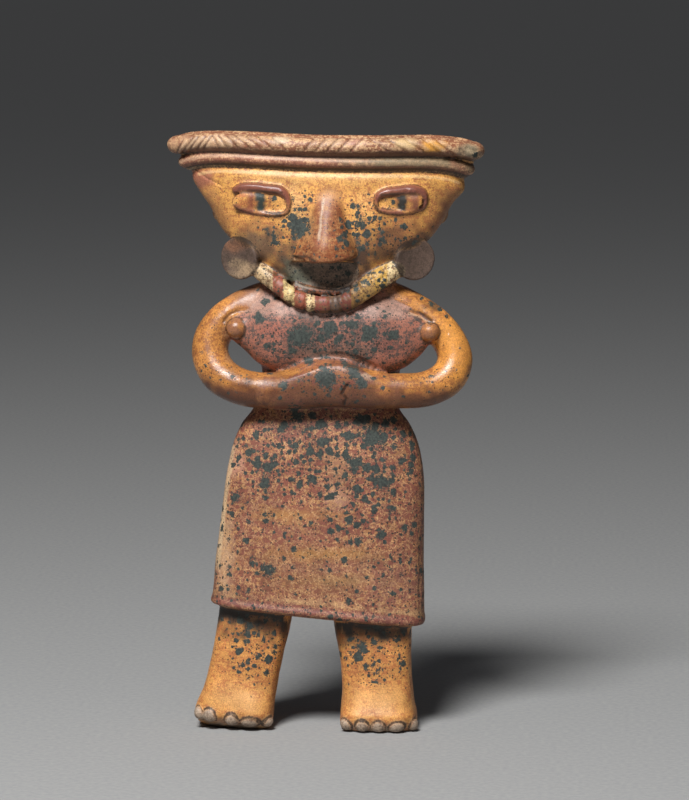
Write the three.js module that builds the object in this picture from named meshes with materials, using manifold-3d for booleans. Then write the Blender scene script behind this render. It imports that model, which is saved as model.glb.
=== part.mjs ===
// Earthenware female figurine, modelled by hand from solid clay and standing on its own two feet.
// Millimetres, +Z up, +X to the viewer's right, and the figure faces -Y. Its lumps, slabs and
// coils of clay were pressed onto each other and fired as one, so they are joined into one body.
import * as THREE from 'three';
import { mergeVertices } from 'three/addons/utils/BufferGeometryUtils.js';
import Module from 'manifold-3d';

const wasm = await Module();
wasm.setup();

// Columns of a stations list: height, middle, half width, depth ahead, depth behind, squareness.
// Squareness 2 is an oval section, and a higher value is a fuller, boxier one.
const HEIGHT = 0;
const MIDDLE = 1;
const HALF = 2;
const AHEAD = 3;
const BEHIND = 4;
const SQUARE = 5;

// Skirt: a flattened tube, narrow at the waist, with a rolled hem that hangs lower on the right
const SKIRT = [
  [32.0, -2.1, 29.0, 10.2, 10.0, 3.2],
  [32.6, -2.1, 30.7, 12.0, 11.6, 3.4],
  [33.8, -2.1, 31.0, 12.4, 12.0, 3.4],
  [35.2, -2.0, 30.6, 11.8, 11.4, 3.4],
  [46.0, -1.7, 30.1, 11.5, 11.6, 3.2],
  [58.0, -1.0, 29.4, 11.2, 12.0, 3.1],
  [70.0, -0.2, 28.7, 10.9, 12.4, 3.0],
  [80.0, 0.1, 27.1, 10.2, 12.0, 2.8],
  [87.0, 0.1, 24.4, 9.2, 10.4, 2.6],
  [92.0, 0.3, 20.9, 8.0, 8.4, 2.5],
  [101.0, 0.6, 18.5, 6.6, 6.4, 2.4],
];
const HEM_SLOPE = -0.098;
const HEM_REACH = 22;

// Torso: waist, ribs and sloping shoulders, up to the neck
const TORSO = [
  [86.0, 0.0, 17.0, 6.5, 6.0, 2.4],
  [97.0, 0.8, 19.2, 7.0, 6.6, 2.4],
  [102.5, 1.6, 19.9, 7.4, 7.0, 2.4],
  [108.0, 1.4, 21.2, 8.2, 7.6, 2.4],
  [114.0, 1.2, 24.0, 8.6, 8.0, 2.6],
  [119.0, 0.6, 24.2, 7.8, 8.0, 3.0],
  [122.5, 0.4, 22.8, 6.8, 7.4, 3.2],
  [126.0, 0.6, 20.6, 5.8, 6.4, 3.0],
  [128.6, 0.8, 18.4, 5.2, 5.4, 2.6],
  [131.0, 0.8, 14.6, 4.8, 5.0, 2.2],
  [137.0, 0.8, 9.6, 4.6, 5.0, 2.0],
];

// Breasts: one lump across the chest that narrows to a nub at each side.
// Columns as above, but the first is the place across the chest and the second the height.
const CHEST = [
  [-27.0, 114.5, 2.6, 2.0, 2.0, 2.0],
  [-23.5, 114.3, 5.2, 4.0, 4.0, 2.2],
  [-18.0, 113.2, 9.0, 6.2, 5.0, 2.3],
  [-11.0, 113.2, 11.4, 7.4, 5.0, 2.4],
  [1.5, 113.4, 11.0, 7.0, 5.0, 2.4],
  [14.0, 113.0, 11.3, 7.4, 5.0, 2.4],
  [21.5, 112.8, 9.7, 6.2, 5.0, 2.3],
  [27.0, 113.4, 6.4, 4.0, 4.0, 2.2],
  [30.5, 113.8, 2.6, 2.0, 2.0, 2.0],
];
const CHEST_DEPTH = -3.4;
const NUBS = [
  [-24.9, -6.6, 115.0, 3.0],
  [30.0, -6.2, 114.3, 2.8],
];

// Arms: round coils, X, Y, Z and radius, from the shoulder out, round the elbow and in to the hands
const LEFT_ARM = [
  [-13.0, 0.6, 124.0, 4.6],
  [-19.0, 0.4, 122.4, 5.1],
  [-24.9, 0.0, 119.6, 5.2],
  [-29.6, -0.6, 116.0, 5.2],
  [-32.5, -1.4, 111.2, 5.3],
  [-32.6, -2.6, 106.4, 5.4],
  [-29.8, -4.4, 101.6, 5.5],
  [-24.2, -6.6, 98.6, 5.3],
  [-17.6, -8.8, 97.7, 5.2],
  [-10.0, -9.6, 98.4, 5.0],
  [-2.0, -9.6, 99.2, 4.6],
];
const RIGHT_ARM = [
  [13.0, 0.6, 124.2, 4.6],
  [19.5, 0.4, 122.8, 5.1],
  [26.1, 0.0, 119.5, 5.1],
  [31.4, -0.6, 115.8, 5.1],
  [35.5, -1.4, 111.2, 5.0],
  [37.1, -2.6, 106.2, 5.1],
  [35.2, -4.4, 101.3, 5.3],
  [29.5, -6.6, 98.3, 5.2],
  [21.8, -8.8, 97.8, 5.1],
  [14.6, -9.6, 98.2, 5.0],
  [7.0, -9.6, 99.0, 4.6],
];

// Hands: the forearms meet in one lump across the body, pinched up between the breasts.
// Columns as for the breasts.
const HANDS = [
  [-19.5, 97.4, 3.2, 3.4, 4.0, 2.0],
  [-16.0, 97.3, 4.7, 4.8, 5.0, 2.0],
  [-12.5, 97.7, 5.5, 5.4, 5.0, 2.1],
  [-8.0, 98.7, 6.3, 5.6, 5.0, 2.3],
  [-3.4, 99.8, 7.0, 5.7, 5.0, 2.6],
  [2.0, 100.4, 7.2, 5.7, 5.0, 2.8],
  [7.0, 100.0, 7.0, 5.7, 5.0, 2.8],
  [12.0, 98.9, 6.2, 5.5, 5.0, 2.5],
  [16.5, 98.0, 5.3, 5.2, 5.0, 2.2],
  [20.0, 97.7, 4.6, 4.6, 5.0, 2.0],
  [23.0, 97.7, 3.2, 3.4, 4.0, 2.0],
];
const HANDS_DEPTH = -9.6;

// Legs: short flat columns that flare into the feet, columns as for the skirt
const LEFT_LEG = [
  [-0.6, -25.4, 9.8, 4.8, 7.2, 3.2],
  [1.0, -26.2, 11.2, 7.8, 8.7, 3.4],
  [4.2, -26.3, 11.6, 10.4, 8.8, 3.4],
  [7.4, -25.6, 11.2, 9.8, 8.2, 3.2],
  [11.0, -24.5, 10.7, 8.8, 7.4, 3.2],
  [15.0, -23.6, 10.4, 8.1, 7.0, 3.2],
  [21.0, -22.3, 10.4, 7.8, 6.8, 3.2],
  [27.0, -21.0, 10.7, 7.5, 6.5, 3.2],
  [40.0, -18.9, 10.8, 7.3, 6.5, 3.2],
];
const RIGHT_LEG = [
  [-0.6, 15.4, 10.2, 8.2, 7.4, 3.2],
  [0.6, 15.4, 11.2, 9.9, 8.8, 3.4],
  [3.8, 15.4, 11.1, 11.4, 8.8, 3.4],
  [6.5, 15.2, 10.7, 10.2, 8.2, 3.2],
  [10.4, 15.1, 10.3, 8.9, 7.4, 3.2],
  [14.4, 14.8, 10.2, 8.2, 7.0, 3.2],
  [20.6, 14.4, 10.4, 7.8, 6.8, 3.2],
  [26.5, 13.9, 11.1, 7.5, 6.5, 3.2],
  [40.0, 12.9, 11.9, 7.3, 6.5, 3.2],
];
const ANKLE = 11;
const SPLAY = Math.tan(THREE.MathUtils.degToRad(14));

// Toes: X, Z and the half sizes across and up of each bead along the front of a foot
const LEFT_TOES = [
  [-35.7, 4.0, 2.0, 2.2],
  [-32.5, 3.9, 2.4, 2.4],
  [-26.2, 3.1, 2.5, 2.4],
  [-21.1, 2.5, 3.2, 2.1],
  [-16.3, 2.1, 2.0, 1.8],
];
const RIGHT_TOES = [
  [6.9, 1.8, 2.4, 2.0],
  [11.3, 2.0, 2.5, 2.3],
  [15.8, 1.9, 2.5, 2.3],
  [20.8, 1.7, 2.8, 2.1],
  [25.3, 1.6, 2.0, 1.9],
];
const TOE_AHEAD = 2.4;
const TOE_SUNK = 1.3;

// Head: a flat slab, widest at the top, that narrows to the chin
const HEAD = [
  [123.6, 0.5, 6.0, 5.4, 4.0, 2.2],
  [125.0, 0.5, 10.0, 7.6, 5.0, 2.3],
  [127.6, 0.6, 13.8, 9.0, 5.8, 2.4],
  [131.0, 0.7, 17.4, 9.8, 6.6, 2.6],
  [135.0, 0.7, 21.8, 10.4, 7.2, 2.8],
  [139.5, 1.2, 28.0, 10.8, 7.8, 3.0],
  [144.0, 1.1, 31.7, 10.8, 8.3, 3.2],
  [149.0, 1.2, 34.4, 10.6, 8.6, 3.2],
  [154.0, 1.0, 37.5, 10.2, 8.7, 3.2],
  [158.6, 0.6, 39.0, 9.9, 8.6, 3.2],
  [160.2, 0.5, 38.8, 9.0, 8.4, 3.2],
  [161.4, 0.4, 40.2, 7.4, 7.4, 3.2],
  [167.0, 0.0, 42.6, 7.2, 7.2, 3.2],
];
const HEAD_BEND = 0.0034;
const BROW = [150, 158];

// Headband: a thick coil laid round the top of the head over a thinner one and a thread of clay.
// Each closed ring: height, sag in the middle, droop to the right and at its ends, place, radii.
const BAND = {
  z: 167.6, sag: 0.8, droop: 0.018, ends: 1.8,
  middle: -0.4, half: 42.3, ahead: 9.2, behind: 8.4, out: 3.2, up: 2.7,
};
const COIL = {
  z: 163.0, sag: 0.8, droop: 0.024, ends: 2.2,
  middle: -0.1, half: 40.6, ahead: 8.9, behind: 8.3, out: 1.9, up: 1.75,
};
const THREAD = {
  z: 161.2, sag: 0.7, droop: 0.024, ends: 2.2,
  middle: 0.2, half: 39.4, ahead: 8.3, behind: 8.1, out: 1.3, up: 0.6,
};
const RING_SQUARE = 3.2;

// Nose: a straight wedge from the brow, cut off below in a line that rises to its sides
const NOSE = [
  [134.0, 0.7, 8.2, 6.4, 3.0, 2.2],
  [134.7, 0.8, 9.0, 8.0, 3.0, 1.8],
  [138.0, 0.9, 8.4, 7.6, 3.0, 1.6],
  [143.0, 1.1, 6.6, 5.7, 3.0, 1.6],
  [148.0, 1.4, 4.9, 3.7, 3.0, 1.7],
  [152.0, 1.6, 4.0, 1.9, 3.0, 1.8],
  [155.5, 1.7, 3.2, 0.4, 3.0, 2.0],
];
const NOSE_SUNK = 1;
const NOSE_LIFT = 0.02;
const NOSE_REACH = 9;

// Mouth: a hollow under the nose with a thin coil for the lower lip
const MOUTH = { x: 0.0, z: 131.0, half: 10.0, tall: 4.4, deep: 2.2 };
const LIP = [
  [-8.8, 127.9],
  [-4.6, 126.4],
  [0.5, 125.6],
  [5.8, 125.7],
  [9.2, 127.0],
];
const LIP_RADIUS = 1.2;
const LIP_PROUD = 0.2;

// Eyes: a coil for the lids round a pad, thickest along the top, and a block for the pupil.
// Lids are X, Z and radius; pads and pupils are X, Z, half width and half height.
const EYES = [
  {
    lids: [
      [-25.8, 153.7, 0.9], [-23.8, 155.1, 1.05], [-20.0, 155.4, 1.15], [-15.6, 155.0, 1.2],
      [-11.8, 154.4, 1.15], [-10.0, 152.7, 0.75], [-9.6, 150.4, 0.6], [-10.2, 148.5, 0.6],
      [-12.6, 147.7, 0.6], [-17.0, 147.9, 0.65], [-21.4, 148.8, 0.65], [-25.2, 150.4, 0.55],
    ],
    closed: false,
    pad: [-18.3, 151.2, 7.9, 3.4],
    pupil: [-17.7, 151.3, 2.7, 3.3],
  },
  {
    lids: [
      [15.6, 152.9, 0.9], [17.6, 154.0, 1.1], [21.5, 154.5, 1.15], [25.6, 154.8, 1.25],
      [28.0, 153.7, 1.2], [28.7, 151.8, 0.9], [28.3, 150.0, 0.65], [26.2, 148.9, 0.65],
      [22.0, 148.3, 0.65], [17.8, 148.6, 0.65], [15.4, 149.6, 0.55], [15.0, 151.3, 0.6],
    ],
    closed: true,
    pad: [21.8, 151.2, 6.6, 3.2],
    pupil: [22.4, 151.3, 2.2, 3.0],
  },
];
const PAD_HEIGHT = 0.6;
const PAD_SUNK = 0.2;
const PUPIL_HEIGHT = 1.0;
const LID_PROUD = 0.4;

// Ears: upright strips behind the edges of the face, and the ear discs that hang below them
const EARS = [
  [[-31.0, 149.6], [-30.4, 147.2], [-29.2, 144.8]],
  [[33.2, 149.4], [32.6, 147.0], [31.2, 144.6]],
];
const EAR_RADIUS = 2.4;
const EAR_DEPTH = 4.4;
const DISCS = [
  { x: -24.0, y: -4.4, z: 134.8, turn: -28, lean: 4, roll: -10 },
  { x: 25.6, y: -4.0, z: 134.8, turn: 28, lean: 4, roll: 14 },
];
const DISC_RADIUS = 6.2;
const DISC_THICKNESS = 2.4;
const DISC_RIM = 0.9;
const DISC_HOLLOW = 0.5;

// Necklace: a flat coil notched into beads, X, Y, Z and radius, first its front and then the nape
const NECKLACE = [
  [-17.9, -5.4, 131.0, 2.5],
  [-13.6, -8.0, 128.1, 2.5],
  [-8.7, -9.8, 124.7, 2.5],
  [-3.7, -10.6, 122.8, 2.5],
  [1.2, -10.8, 122.4, 2.5],
  [6.6, -10.5, 123.2, 2.7],
  [10.9, -9.8, 126.0, 3.1],
  [15.8, -7.8, 129.3, 3.1],
  [20.0, -5.2, 131.6, 2.7],
  [16.0, 1.6, 128.2, 2.0],
  [8.0, 5.0, 128.6, 2.2],
  [0.6, 5.9, 128.8, 2.2],
  [-7.0, 5.0, 128.6, 2.2],
  [-14.6, 1.6, 128.2, 2.0],
];
const NECKLACE_FLAT = 0.75;
const BEADS = 24;
const BEAD_NOTCH = 0.12;

// Corners round each form, and steps along each coil, which crowd together at its rounded ends
const SIDES = {
  skirt: 28, torso: 20, chest: 16, nub: 10, arm: 9, hands: 12, leg: 16, toe: 8, head: 26, band: 8, coil: 6,
  thread: 4, nose: 14, mouth: 12, lip: 6, lid: 6, pad: 8, ear: 8, disc: 16, necklace: 7,
};
const STEPS = { arm: 19, band: 36, coil: 30, thread: 24, lip: 9, lid: 12, ear: 5, necklace: 34 };
const ROUND_ENDS = 0.5;

// A cubic between the keys of one column that never overshoots them
function slopeAt(keys, i, column) {
  const rise = (a, b) => (keys[b][column] - keys[a][column]) / (keys[b][0] - keys[a][0]);
  if (i === 0) return rise(0, 1);
  if (i === keys.length - 1) return rise(i - 1, i);
  const before = rise(i - 1, i);
  const after = rise(i, i + 1);
  return before * after <= 0 ? 0 : (2 * before * after) / (before + after);
}

function valueAt(keys, at, column) {
  const last = keys.length - 2;
  const above = keys.findIndex((key) => key[0] >= at);
  const i = above < 0 ? last : Math.min(last, Math.max(0, above - 1));
  const gap = keys[i + 1][0] - keys[i][0];
  const t = THREE.MathUtils.clamp((at - keys[i][0]) / gap, 0, 1);
  const keep = (1 + 2 * t) * (1 - t) * (1 - t);
  return keys[i][column] * keep + keys[i + 1][column] * (1 - keep)
    + gap * slopeAt(keys, i, column) * t * (1 - t) * (1 - t)
    - gap * slopeAt(keys, i + 1, column) * t * t * (1 - t);
}

// A closed three.js geometry as a solid that can be joined and cut
function solid(geometry) {
  geometry.deleteAttribute('normal');
  geometry.deleteAttribute('uv');
  const merged = mergeVertices(geometry, 1e-4);
  const index = merged.index.array;
  const triVerts = [];
  for (let i = 0; i < index.length; i += 3) {
    const [a, b, c] = index.slice(i, i + 3);
    if (a !== b && b !== c && c !== a) triVerts.push(a, b, c);
  }
  return new wasm.Manifold(new wasm.Mesh({
    numProp: 3,
    vertProperties: new Float32Array(merged.attributes.position.array),
    triVerts: new Uint32Array(triVerts),
  }));
}

// Moves every vertex of a geometry to where place(vertex) says
function warp(geometry, place) {
  const position = geometry.attributes.position;
  const vertex = new THREE.Vector3();
  for (let i = 0; i < position.count; i += 1) {
    vertex.fromBufferAttribute(position, i);
    place(vertex);
    position.setXYZ(i, vertex.x, vertex.y, vertex.z);
  }
  return geometry;
}

// Point of a section with rounded corners, for a point of the unit circle
function squared(across, deep, power) {
  const part = (v) => Math.sign(v) * Math.abs(v) ** (2 / power);
  return [part(across), part(deep)];
}

// An upright lump with one row of corners at each station
function lump(stations, depth, sides) {
  const gaps = stations.length - 1;
  return warp(new THREE.CylinderGeometry(1, 1, 1, sides, gaps), (v) => {
    const station = stations[Math.round((v.y + 0.5) * gaps)];
    const [across, deep] = squared(v.x, -v.z, station[SQUARE]);
    const reach = deep < 0 ? station[AHEAD] : station[BEHIND];
    v.set(station[MIDDLE] + across * station[HALF], depth + deep * reach, station[HEIGHT]);
  });
}

// A coil of clay along a path, with rounded ends; gather crowds its rows towards the ends
function coil(points, radiusAt, sides, steps, gather = 0) {
  const path = new THREE.CatmullRomCurve3(points, false, 'centripetal');
  const length = path.getLength();
  const spaced = (share) => share - (gather * Math.sin(2 * Math.PI * share)) / (2 * Math.PI);
  const frames = path.computeFrenetFrames(steps, false);
  return warp(new THREE.CylinderGeometry(1, 1, 1, sides, steps), (v) => {
    const row = Math.round((v.y + 0.5) * steps);
    const share = spaced(row / steps);
    const toEnd = Math.min(share, 1 - share) * length;
    const full = radiusAt(share);
    const radius = toEnd < full ? Math.sqrt(full * full - (full - toEnd) ** 2) : full;
    const across = frames.normals[row].clone().multiplyScalar(v.z * radius);
    const up = frames.binormals[row].clone().multiplyScalar(v.x * radius);
    v.copy(path.getPointAt(share)).add(across).add(up);
  });
}

// Radius along a path whose points carry their own
function radiiOf(rows) {
  return (share) => {
    const at = share * (rows.length - 1);
    const i = Math.min(rows.length - 2, Math.floor(at));
    return THREE.MathUtils.lerp(rows[i][3], rows[i + 1][3], at - i);
  };
}

function toPoints(rows) {
  return rows.map(([x, y, z]) => new THREE.Vector3(x, y, z));
}

// A closed coil through a loop of points that carry their own radius, thinner from front to back
function hoop(rows, sides, steps, flat = 1, notchAt = () => 1) {
  const path = new THREE.CatmullRomCurve3(toPoints(rows), true, 'centripetal');
  const radiusAt = radiiOf([...rows, rows[0]]);
  const frames = path.computeFrenetFrames(steps, true);
  const outer = 2;
  return warp(new THREE.TorusGeometry(outer, 1, sides, steps), (v) => {
    const turn = (Math.atan2(v.y, v.x) / (2 * Math.PI) + 1) % 1;
    const row = Math.round(turn * steps) % steps;
    const radius = radiusAt(turn) * notchAt(turn);
    const across = frames.normals[row].clone().multiplyScalar((Math.hypot(v.x, v.y) - outer) * radius);
    const up = frames.binormals[row].clone().multiplyScalar(-v.z * radius);
    v.copy(across).add(up);
    v.y *= flat;
    v.add(path.getPointAt(turn));
  });
}

function bead(x, y, z, across, ahead, up, sides) {
  const sphere = new THREE.SphereGeometry(1, sides, Math.ceil(sides / 2) + 1);
  return sphere.scale(across, ahead, up).translate(x, y, z);
}

// Depth of the front of a lump at a place on it
function frontOf(stations, x, z) {
  const share = Math.min(1, Math.abs((x - valueAt(stations, z, MIDDLE)) / valueAt(stations, z, HALF)));
  const power = valueAt(stations, z, SQUARE);
  return -valueAt(stations, z, AHEAD) * (1 - share ** power) ** (1 / power);
}

// The head curves back towards its sides, and everything on it follows
function bendHead(v) {
  v.y += HEAD_BEND * v.x * v.x;
}

function faceDepth(x, z) {
  return frontOf(HEAD, x, z) + HEAD_BEND * x * x;
}

function onFace([x, z], proud) {
  return new THREE.Vector3(x, faceDepth(x, z) - proud, z);
}

function makeSkirt() {
  const skirt = lump(SKIRT, 0, SIDES.skirt);
  return [warp(skirt, (v) => {
    const share = THREE.MathUtils.clamp(1 - (v.z - SKIRT[0][HEIGHT]) / HEM_REACH, 0, 1);
    v.z += HEM_SLOPE * v.x * share;
  })];
}

function makeTorso() {
  return [lump(TORSO, 0, SIDES.torso)];
}

// A lump made upright and then laid on its side, so its first column runs across the body
function laidAcross(stations, depth, sides) {
  const across = warp(lump(stations, depth, sides), (v) => v.set(v.z, v.y, v.x));
  across.index.array.reverse();
  return across;
}

function makeChest() {
  const nubs = NUBS.map(([x, y, z, r]) => bead(x, y, z, r, r, r, SIDES.nub));
  return [laidAcross(CHEST, CHEST_DEPTH, SIDES.chest), ...nubs];
}

function makeArms() {
  return [LEFT_ARM, RIGHT_ARM].map((rows) => coil(toPoints(rows), radiiOf(rows), SIDES.arm, STEPS.arm));
}

function makeHands() {
  return [laidAcross(HANDS, HANDS_DEPTH, SIDES.hands)];
}

// The left foot is splayed: its outer side stands further back than its inner side
function splay(v) {
  const share = THREE.MathUtils.clamp(1 - v.z / ANKLE, 0, 1);
  v.y -= SPLAY * (v.x - LEFT_LEG[0][MIDDLE]) * share;
}

function makeFoot(leg, toes, turn) {
  const beads = toes.map(([x, z, across, up]) => {
    const v = new THREE.Vector3(x, frontOf(leg, x, z) + TOE_SUNK, z);
    turn(v);
    return bead(v.x, v.y, v.z, across, TOE_AHEAD, up, SIDES.toe);
  });
  return [warp(lump(leg, 0, SIDES.leg), turn), ...beads];
}

function makeLegs() {
  return [...makeFoot(LEFT_LEG, LEFT_TOES, splay), ...makeFoot(RIGHT_LEG, RIGHT_TOES, () => {})];
}

// How far a ring, or the edge of the face below it, is raised at a place across the head
function ringLift(ring, x) {
  const across = THREE.MathUtils.clamp((x - ring.middle) / ring.half, -1, 1);
  return -ring.sag * Math.cos((Math.PI / 2) * across) ** 2 - ring.droop * x - ring.ends * across ** 8;
}

function makeHead() {
  return [warp(lump(HEAD, 0, SIDES.head), (v) => {
    v.z += ringLift(THREAD, v.x) * THREE.MathUtils.smoothstep(v.z, ...BROW);
    bendHead(v);
  })];
}

// A closed ring laid round the head
function makeRing(ring, sides, steps) {
  const inner = 1;
  const outer = 2;
  return warp(new THREE.TorusGeometry(outer, inner, sides, steps), (v) => {
    const around = Math.atan2(v.y, v.x);
    const out = Math.hypot(v.x, v.y) - outer;
    const [across, deep] = squared(Math.cos(around), Math.sin(around), RING_SQUARE);
    const reach = deep < 0 ? ring.ahead : ring.behind;
    const x = ring.middle + across * (ring.half + out * ring.out);
    v.set(x, deep * (reach + out * ring.out), ring.z + v.z * ring.up + ringLift(ring, x));
    bendHead(v);
  });
}

function makeHeadband() {
  return [
    makeRing(BAND, SIDES.band, STEPS.band),
    makeRing(COIL, SIDES.coil, STEPS.coil),
    makeRing(THREAD, SIDES.thread, STEPS.thread),
  ];
}

function makeNose() {
  return [warp(lump(NOSE, 0, SIDES.nose), (v) => {
    v.y += faceDepth(0, v.z) + NOSE_SUNK;
    v.z += NOSE_LIFT * v.x * v.x * Math.max(0, 1 - (v.z - NOSE[0][HEIGHT]) / NOSE_REACH);
  })];
}

function makeLip() {
  const points = LIP.map((place) => onFace(place, LIP_PROUD));
  return [coil(points, () => LIP_RADIUS, SIDES.lip, STEPS.lip, ROUND_ENDS)];
}

// A rounded pad pressed onto the face
function makePad([x, z, half, tall], height) {
  return bead(x, faceDepth(x, z) + PAD_SUNK, z, half, height, tall, SIDES.pad);
}

function makeEyes() {
  return EYES.flatMap(({ lids, closed, pad, pupil }) => {
    const rows = lids.map(([x, z, radius]) => [...onFace([x, z], radius * LID_PROUD), radius]);
    const lid = closed
      ? hoop(rows, SIDES.lid, STEPS.lid)
      : coil(toPoints(rows), radiiOf(rows), SIDES.lid, STEPS.lid, ROUND_ENDS);
    return [lid, makePad(pad, PAD_HEIGHT), makePad(pupil, PUPIL_HEIGHT)];
  });
}

function makeEars() {
  return EARS.map((places) => {
    const points = places.map(([x, z]) => new THREE.Vector3(x, EAR_DEPTH, z));
    return coil(points, () => EAR_RADIUS, SIDES.ear, STEPS.ear, ROUND_ENDS);
  });
}

// A disc with a rounded rim and a slightly hollow face
function makeDiscs() {
  const middle = DISC_THICKNESS / 2;
  const profile = [
    new THREE.Vector2(0, -middle),
    new THREE.Vector2(DISC_RADIUS - DISC_RIM, -middle),
    new THREE.Vector2(DISC_RADIUS, -middle + DISC_RIM),
    new THREE.Vector2(DISC_RADIUS, middle - DISC_RIM / 2),
    new THREE.Vector2(DISC_RADIUS - DISC_RIM / 2, middle),
    new THREE.Vector2(DISC_RADIUS - 2 * DISC_RIM, middle - DISC_HOLLOW),
    new THREE.Vector2(0, middle - DISC_HOLLOW),
  ];
  return DISCS.map(({ x, y, z, turn, lean, roll }) => {
    const disc = new THREE.LatheGeometry(profile, SIDES.disc);
    disc.rotateX(Math.PI + THREE.MathUtils.degToRad(lean));
    disc.rotateY(THREE.MathUtils.degToRad(roll));
    disc.rotateZ(THREE.MathUtils.degToRad(turn));
    return disc.translate(x, y, z);
  });
}

function makeNecklace() {
  const notchAt = (turn) => 1 - BEAD_NOTCH * Math.cos(Math.PI * BEADS * turn) ** 4;
  return [hoop(NECKLACE, SIDES.necklace, STEPS.necklace, NECKLACE_FLAT, notchAt)];
}

// The clay forms joined into one closed body, with the hollow of the mouth pressed into it.
// Clay pressed together keeps no sealed pocket of air, so only the outer shell is kept.
function join() {
  const forms = [
    ...makeSkirt(), ...makeTorso(), ...makeChest(), ...makeArms(), ...makeHands(), ...makeLegs(),
    ...makeHead(), ...makeHeadband(), ...makeNose(), ...makeEyes(), ...makeEars(), ...makeDiscs(),
    ...makeNecklace(),
  ].map(solid);
  const mouthDepth = faceDepth(MOUTH.x, MOUTH.z);
  const mouth = solid(bead(MOUTH.x, mouthDepth, MOUTH.z, MOUTH.half, MOUTH.deep, MOUTH.tall, SIDES.mouth));
  const lip = makeLip().map(solid);
  const body = wasm.Manifold.union([wasm.Manifold.union(forms).subtract(mouth), ...lip]);
  return body.decompose().sort((a, b) => b.volume() - a.volume())[0];
}

// The body's triangles, moved so that the middle of its underside is the origin
function toGeometry(body) {
  const { vertProperties, triVerts } = body.getMesh();
  const geometry = new THREE.BufferGeometry();
  geometry.setAttribute('position', new THREE.BufferAttribute(vertProperties, 3));
  geometry.setIndex(new THREE.BufferAttribute(triVerts, 1));
  geometry.computeBoundingBox();
  const { min, max } = geometry.boundingBox;
  geometry.translate(-(min.x + max.x) / 2, -(min.y + max.y) / 2, -min.z);
  geometry.computeVertexNormals();
  return geometry;
}

const earthenware = new THREE.MeshStandardMaterial({ color: 0xa06a48, roughness: 0.6, metalness: 0 });
const figurine = new THREE.Mesh(toGeometry(join()), earthenware);
figurine.name = 'figurine';

const group = new THREE.Group();
group.add(figurine);
export default group;
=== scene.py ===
# %% [markdown]
# # Earthenware female figurine
#
# A small standing figure, modelled by hand from solid clay, coated with coloured slips, rubbed to a
# shine and fired. The potter rolled coils and flattened pads and pressed them onto a flat body, so
# the object is one piece of fired clay. This lesson follows the potter: it makes every lump and coil
# from a few sizes, presses them into one skin of clay, cuts the fine marks, and then paints the slips.

# %% The frame, and the units that the sizes are given in
import math

import bmesh
import bpy
from mathutils import Matrix, Vector, noise
from mathutils.bvhtree import BVHTree


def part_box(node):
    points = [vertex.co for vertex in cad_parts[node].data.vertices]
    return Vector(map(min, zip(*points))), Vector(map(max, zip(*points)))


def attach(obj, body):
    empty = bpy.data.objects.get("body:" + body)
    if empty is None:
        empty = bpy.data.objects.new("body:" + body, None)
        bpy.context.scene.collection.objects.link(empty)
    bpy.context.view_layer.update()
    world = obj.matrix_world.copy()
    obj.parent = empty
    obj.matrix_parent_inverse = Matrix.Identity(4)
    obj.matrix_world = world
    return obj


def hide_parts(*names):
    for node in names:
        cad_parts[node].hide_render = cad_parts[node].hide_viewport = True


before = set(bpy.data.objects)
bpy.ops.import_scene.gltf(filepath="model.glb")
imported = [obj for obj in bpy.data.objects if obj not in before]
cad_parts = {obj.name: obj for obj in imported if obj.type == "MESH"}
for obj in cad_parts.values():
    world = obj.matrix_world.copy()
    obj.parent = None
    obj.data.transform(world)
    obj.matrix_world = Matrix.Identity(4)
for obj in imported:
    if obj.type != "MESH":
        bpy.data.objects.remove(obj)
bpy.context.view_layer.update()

MM = 0.001
low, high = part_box("figurine")
print("packed solid, mm:", [round(side / MM, 1) for side in high - low])

# %% [markdown]
# ## The camera
#
# The picture is a long-lens studio shot, almost straight on and from a little above. A long lens keeps
# the upright edges parallel. The focal length in pixels is turned into millimetres of a 36 mm sensor
# that is laid along the longer side of the frame. The camera is aimed beside the middle of the
# figure, which frames it as a lens shift would, and stays right when the camera goes round it.

# %% Camera: angles in degrees, places and distances in metres
CAMERA_AZIMUTH = 4
CAMERA_ELEVATION = 7
CAMERA_DISTANCE = 1.1
FARTHEST_SEEN = 50
FOCAL_PIXELS = 3850
FRAME_PIXELS = 800
SENSOR = 36
TARGET = Vector((0, 0, 0.0856))
AIM_RIGHT = 0.00597
AIM_UP = 0.00917


def outward_from(azimuth, elevation):
    """The direction from the figure to what stands at these angles."""
    turn, rise = math.radians(azimuth), math.radians(elevation)
    return Vector((math.sin(turn) * math.cos(rise), -math.cos(turn) * math.cos(rise), math.sin(rise)))


def in_scene(obj):
    bpy.context.scene.collection.objects.link(obj)
    return obj


def place_camera():
    outward = outward_from(CAMERA_AZIMUTH, CAMERA_ELEVATION)
    data = bpy.data.cameras.new("studio_camera")
    data.sensor_width = SENSOR
    data.lens = FOCAL_PIXELS / FRAME_PIXELS * SENSOR
    data.clip_end = FARTHEST_SEEN
    camera = in_scene(bpy.data.objects.new("studio_camera", data))
    camera.location = TARGET + outward * CAMERA_DISTANCE
    right = Vector((0, 0, 1)).cross(outward).normalized()
    up = outward.cross(right)
    aim = TARGET + right * AIM_RIGHT + up * AIM_UP
    camera.rotation_euler = (aim - camera.location).to_track_quat("-Z", "Y").to_euler()
    bpy.context.scene.camera = camera
    return camera


camera = place_camera()
print("camera:", round(camera.location.length, 2), "m away, lens", round(camera.data.lens), "mm")

# %% [markdown]
# ## Tools of the potter
#
# Three shapes make the whole figure: a lump, a coil and a bead. Each is one primitive that a function
# warps, so its faces stay closed and in order. A lump is an upright rod whose rows are moved to
# stations. A station is one section of a lump: its height, the middle of its width, half its width, its
# depth ahead and behind, and its squareness, where 2 is an oval and a higher value is a boxier section.
# A coil is a rod or a hoop that is laid along a smooth path. Sizes are in millimetres, with X to the
# viewer's right, Y away and Z up. Left and right are meant as someone facing the figure sees them.

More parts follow.
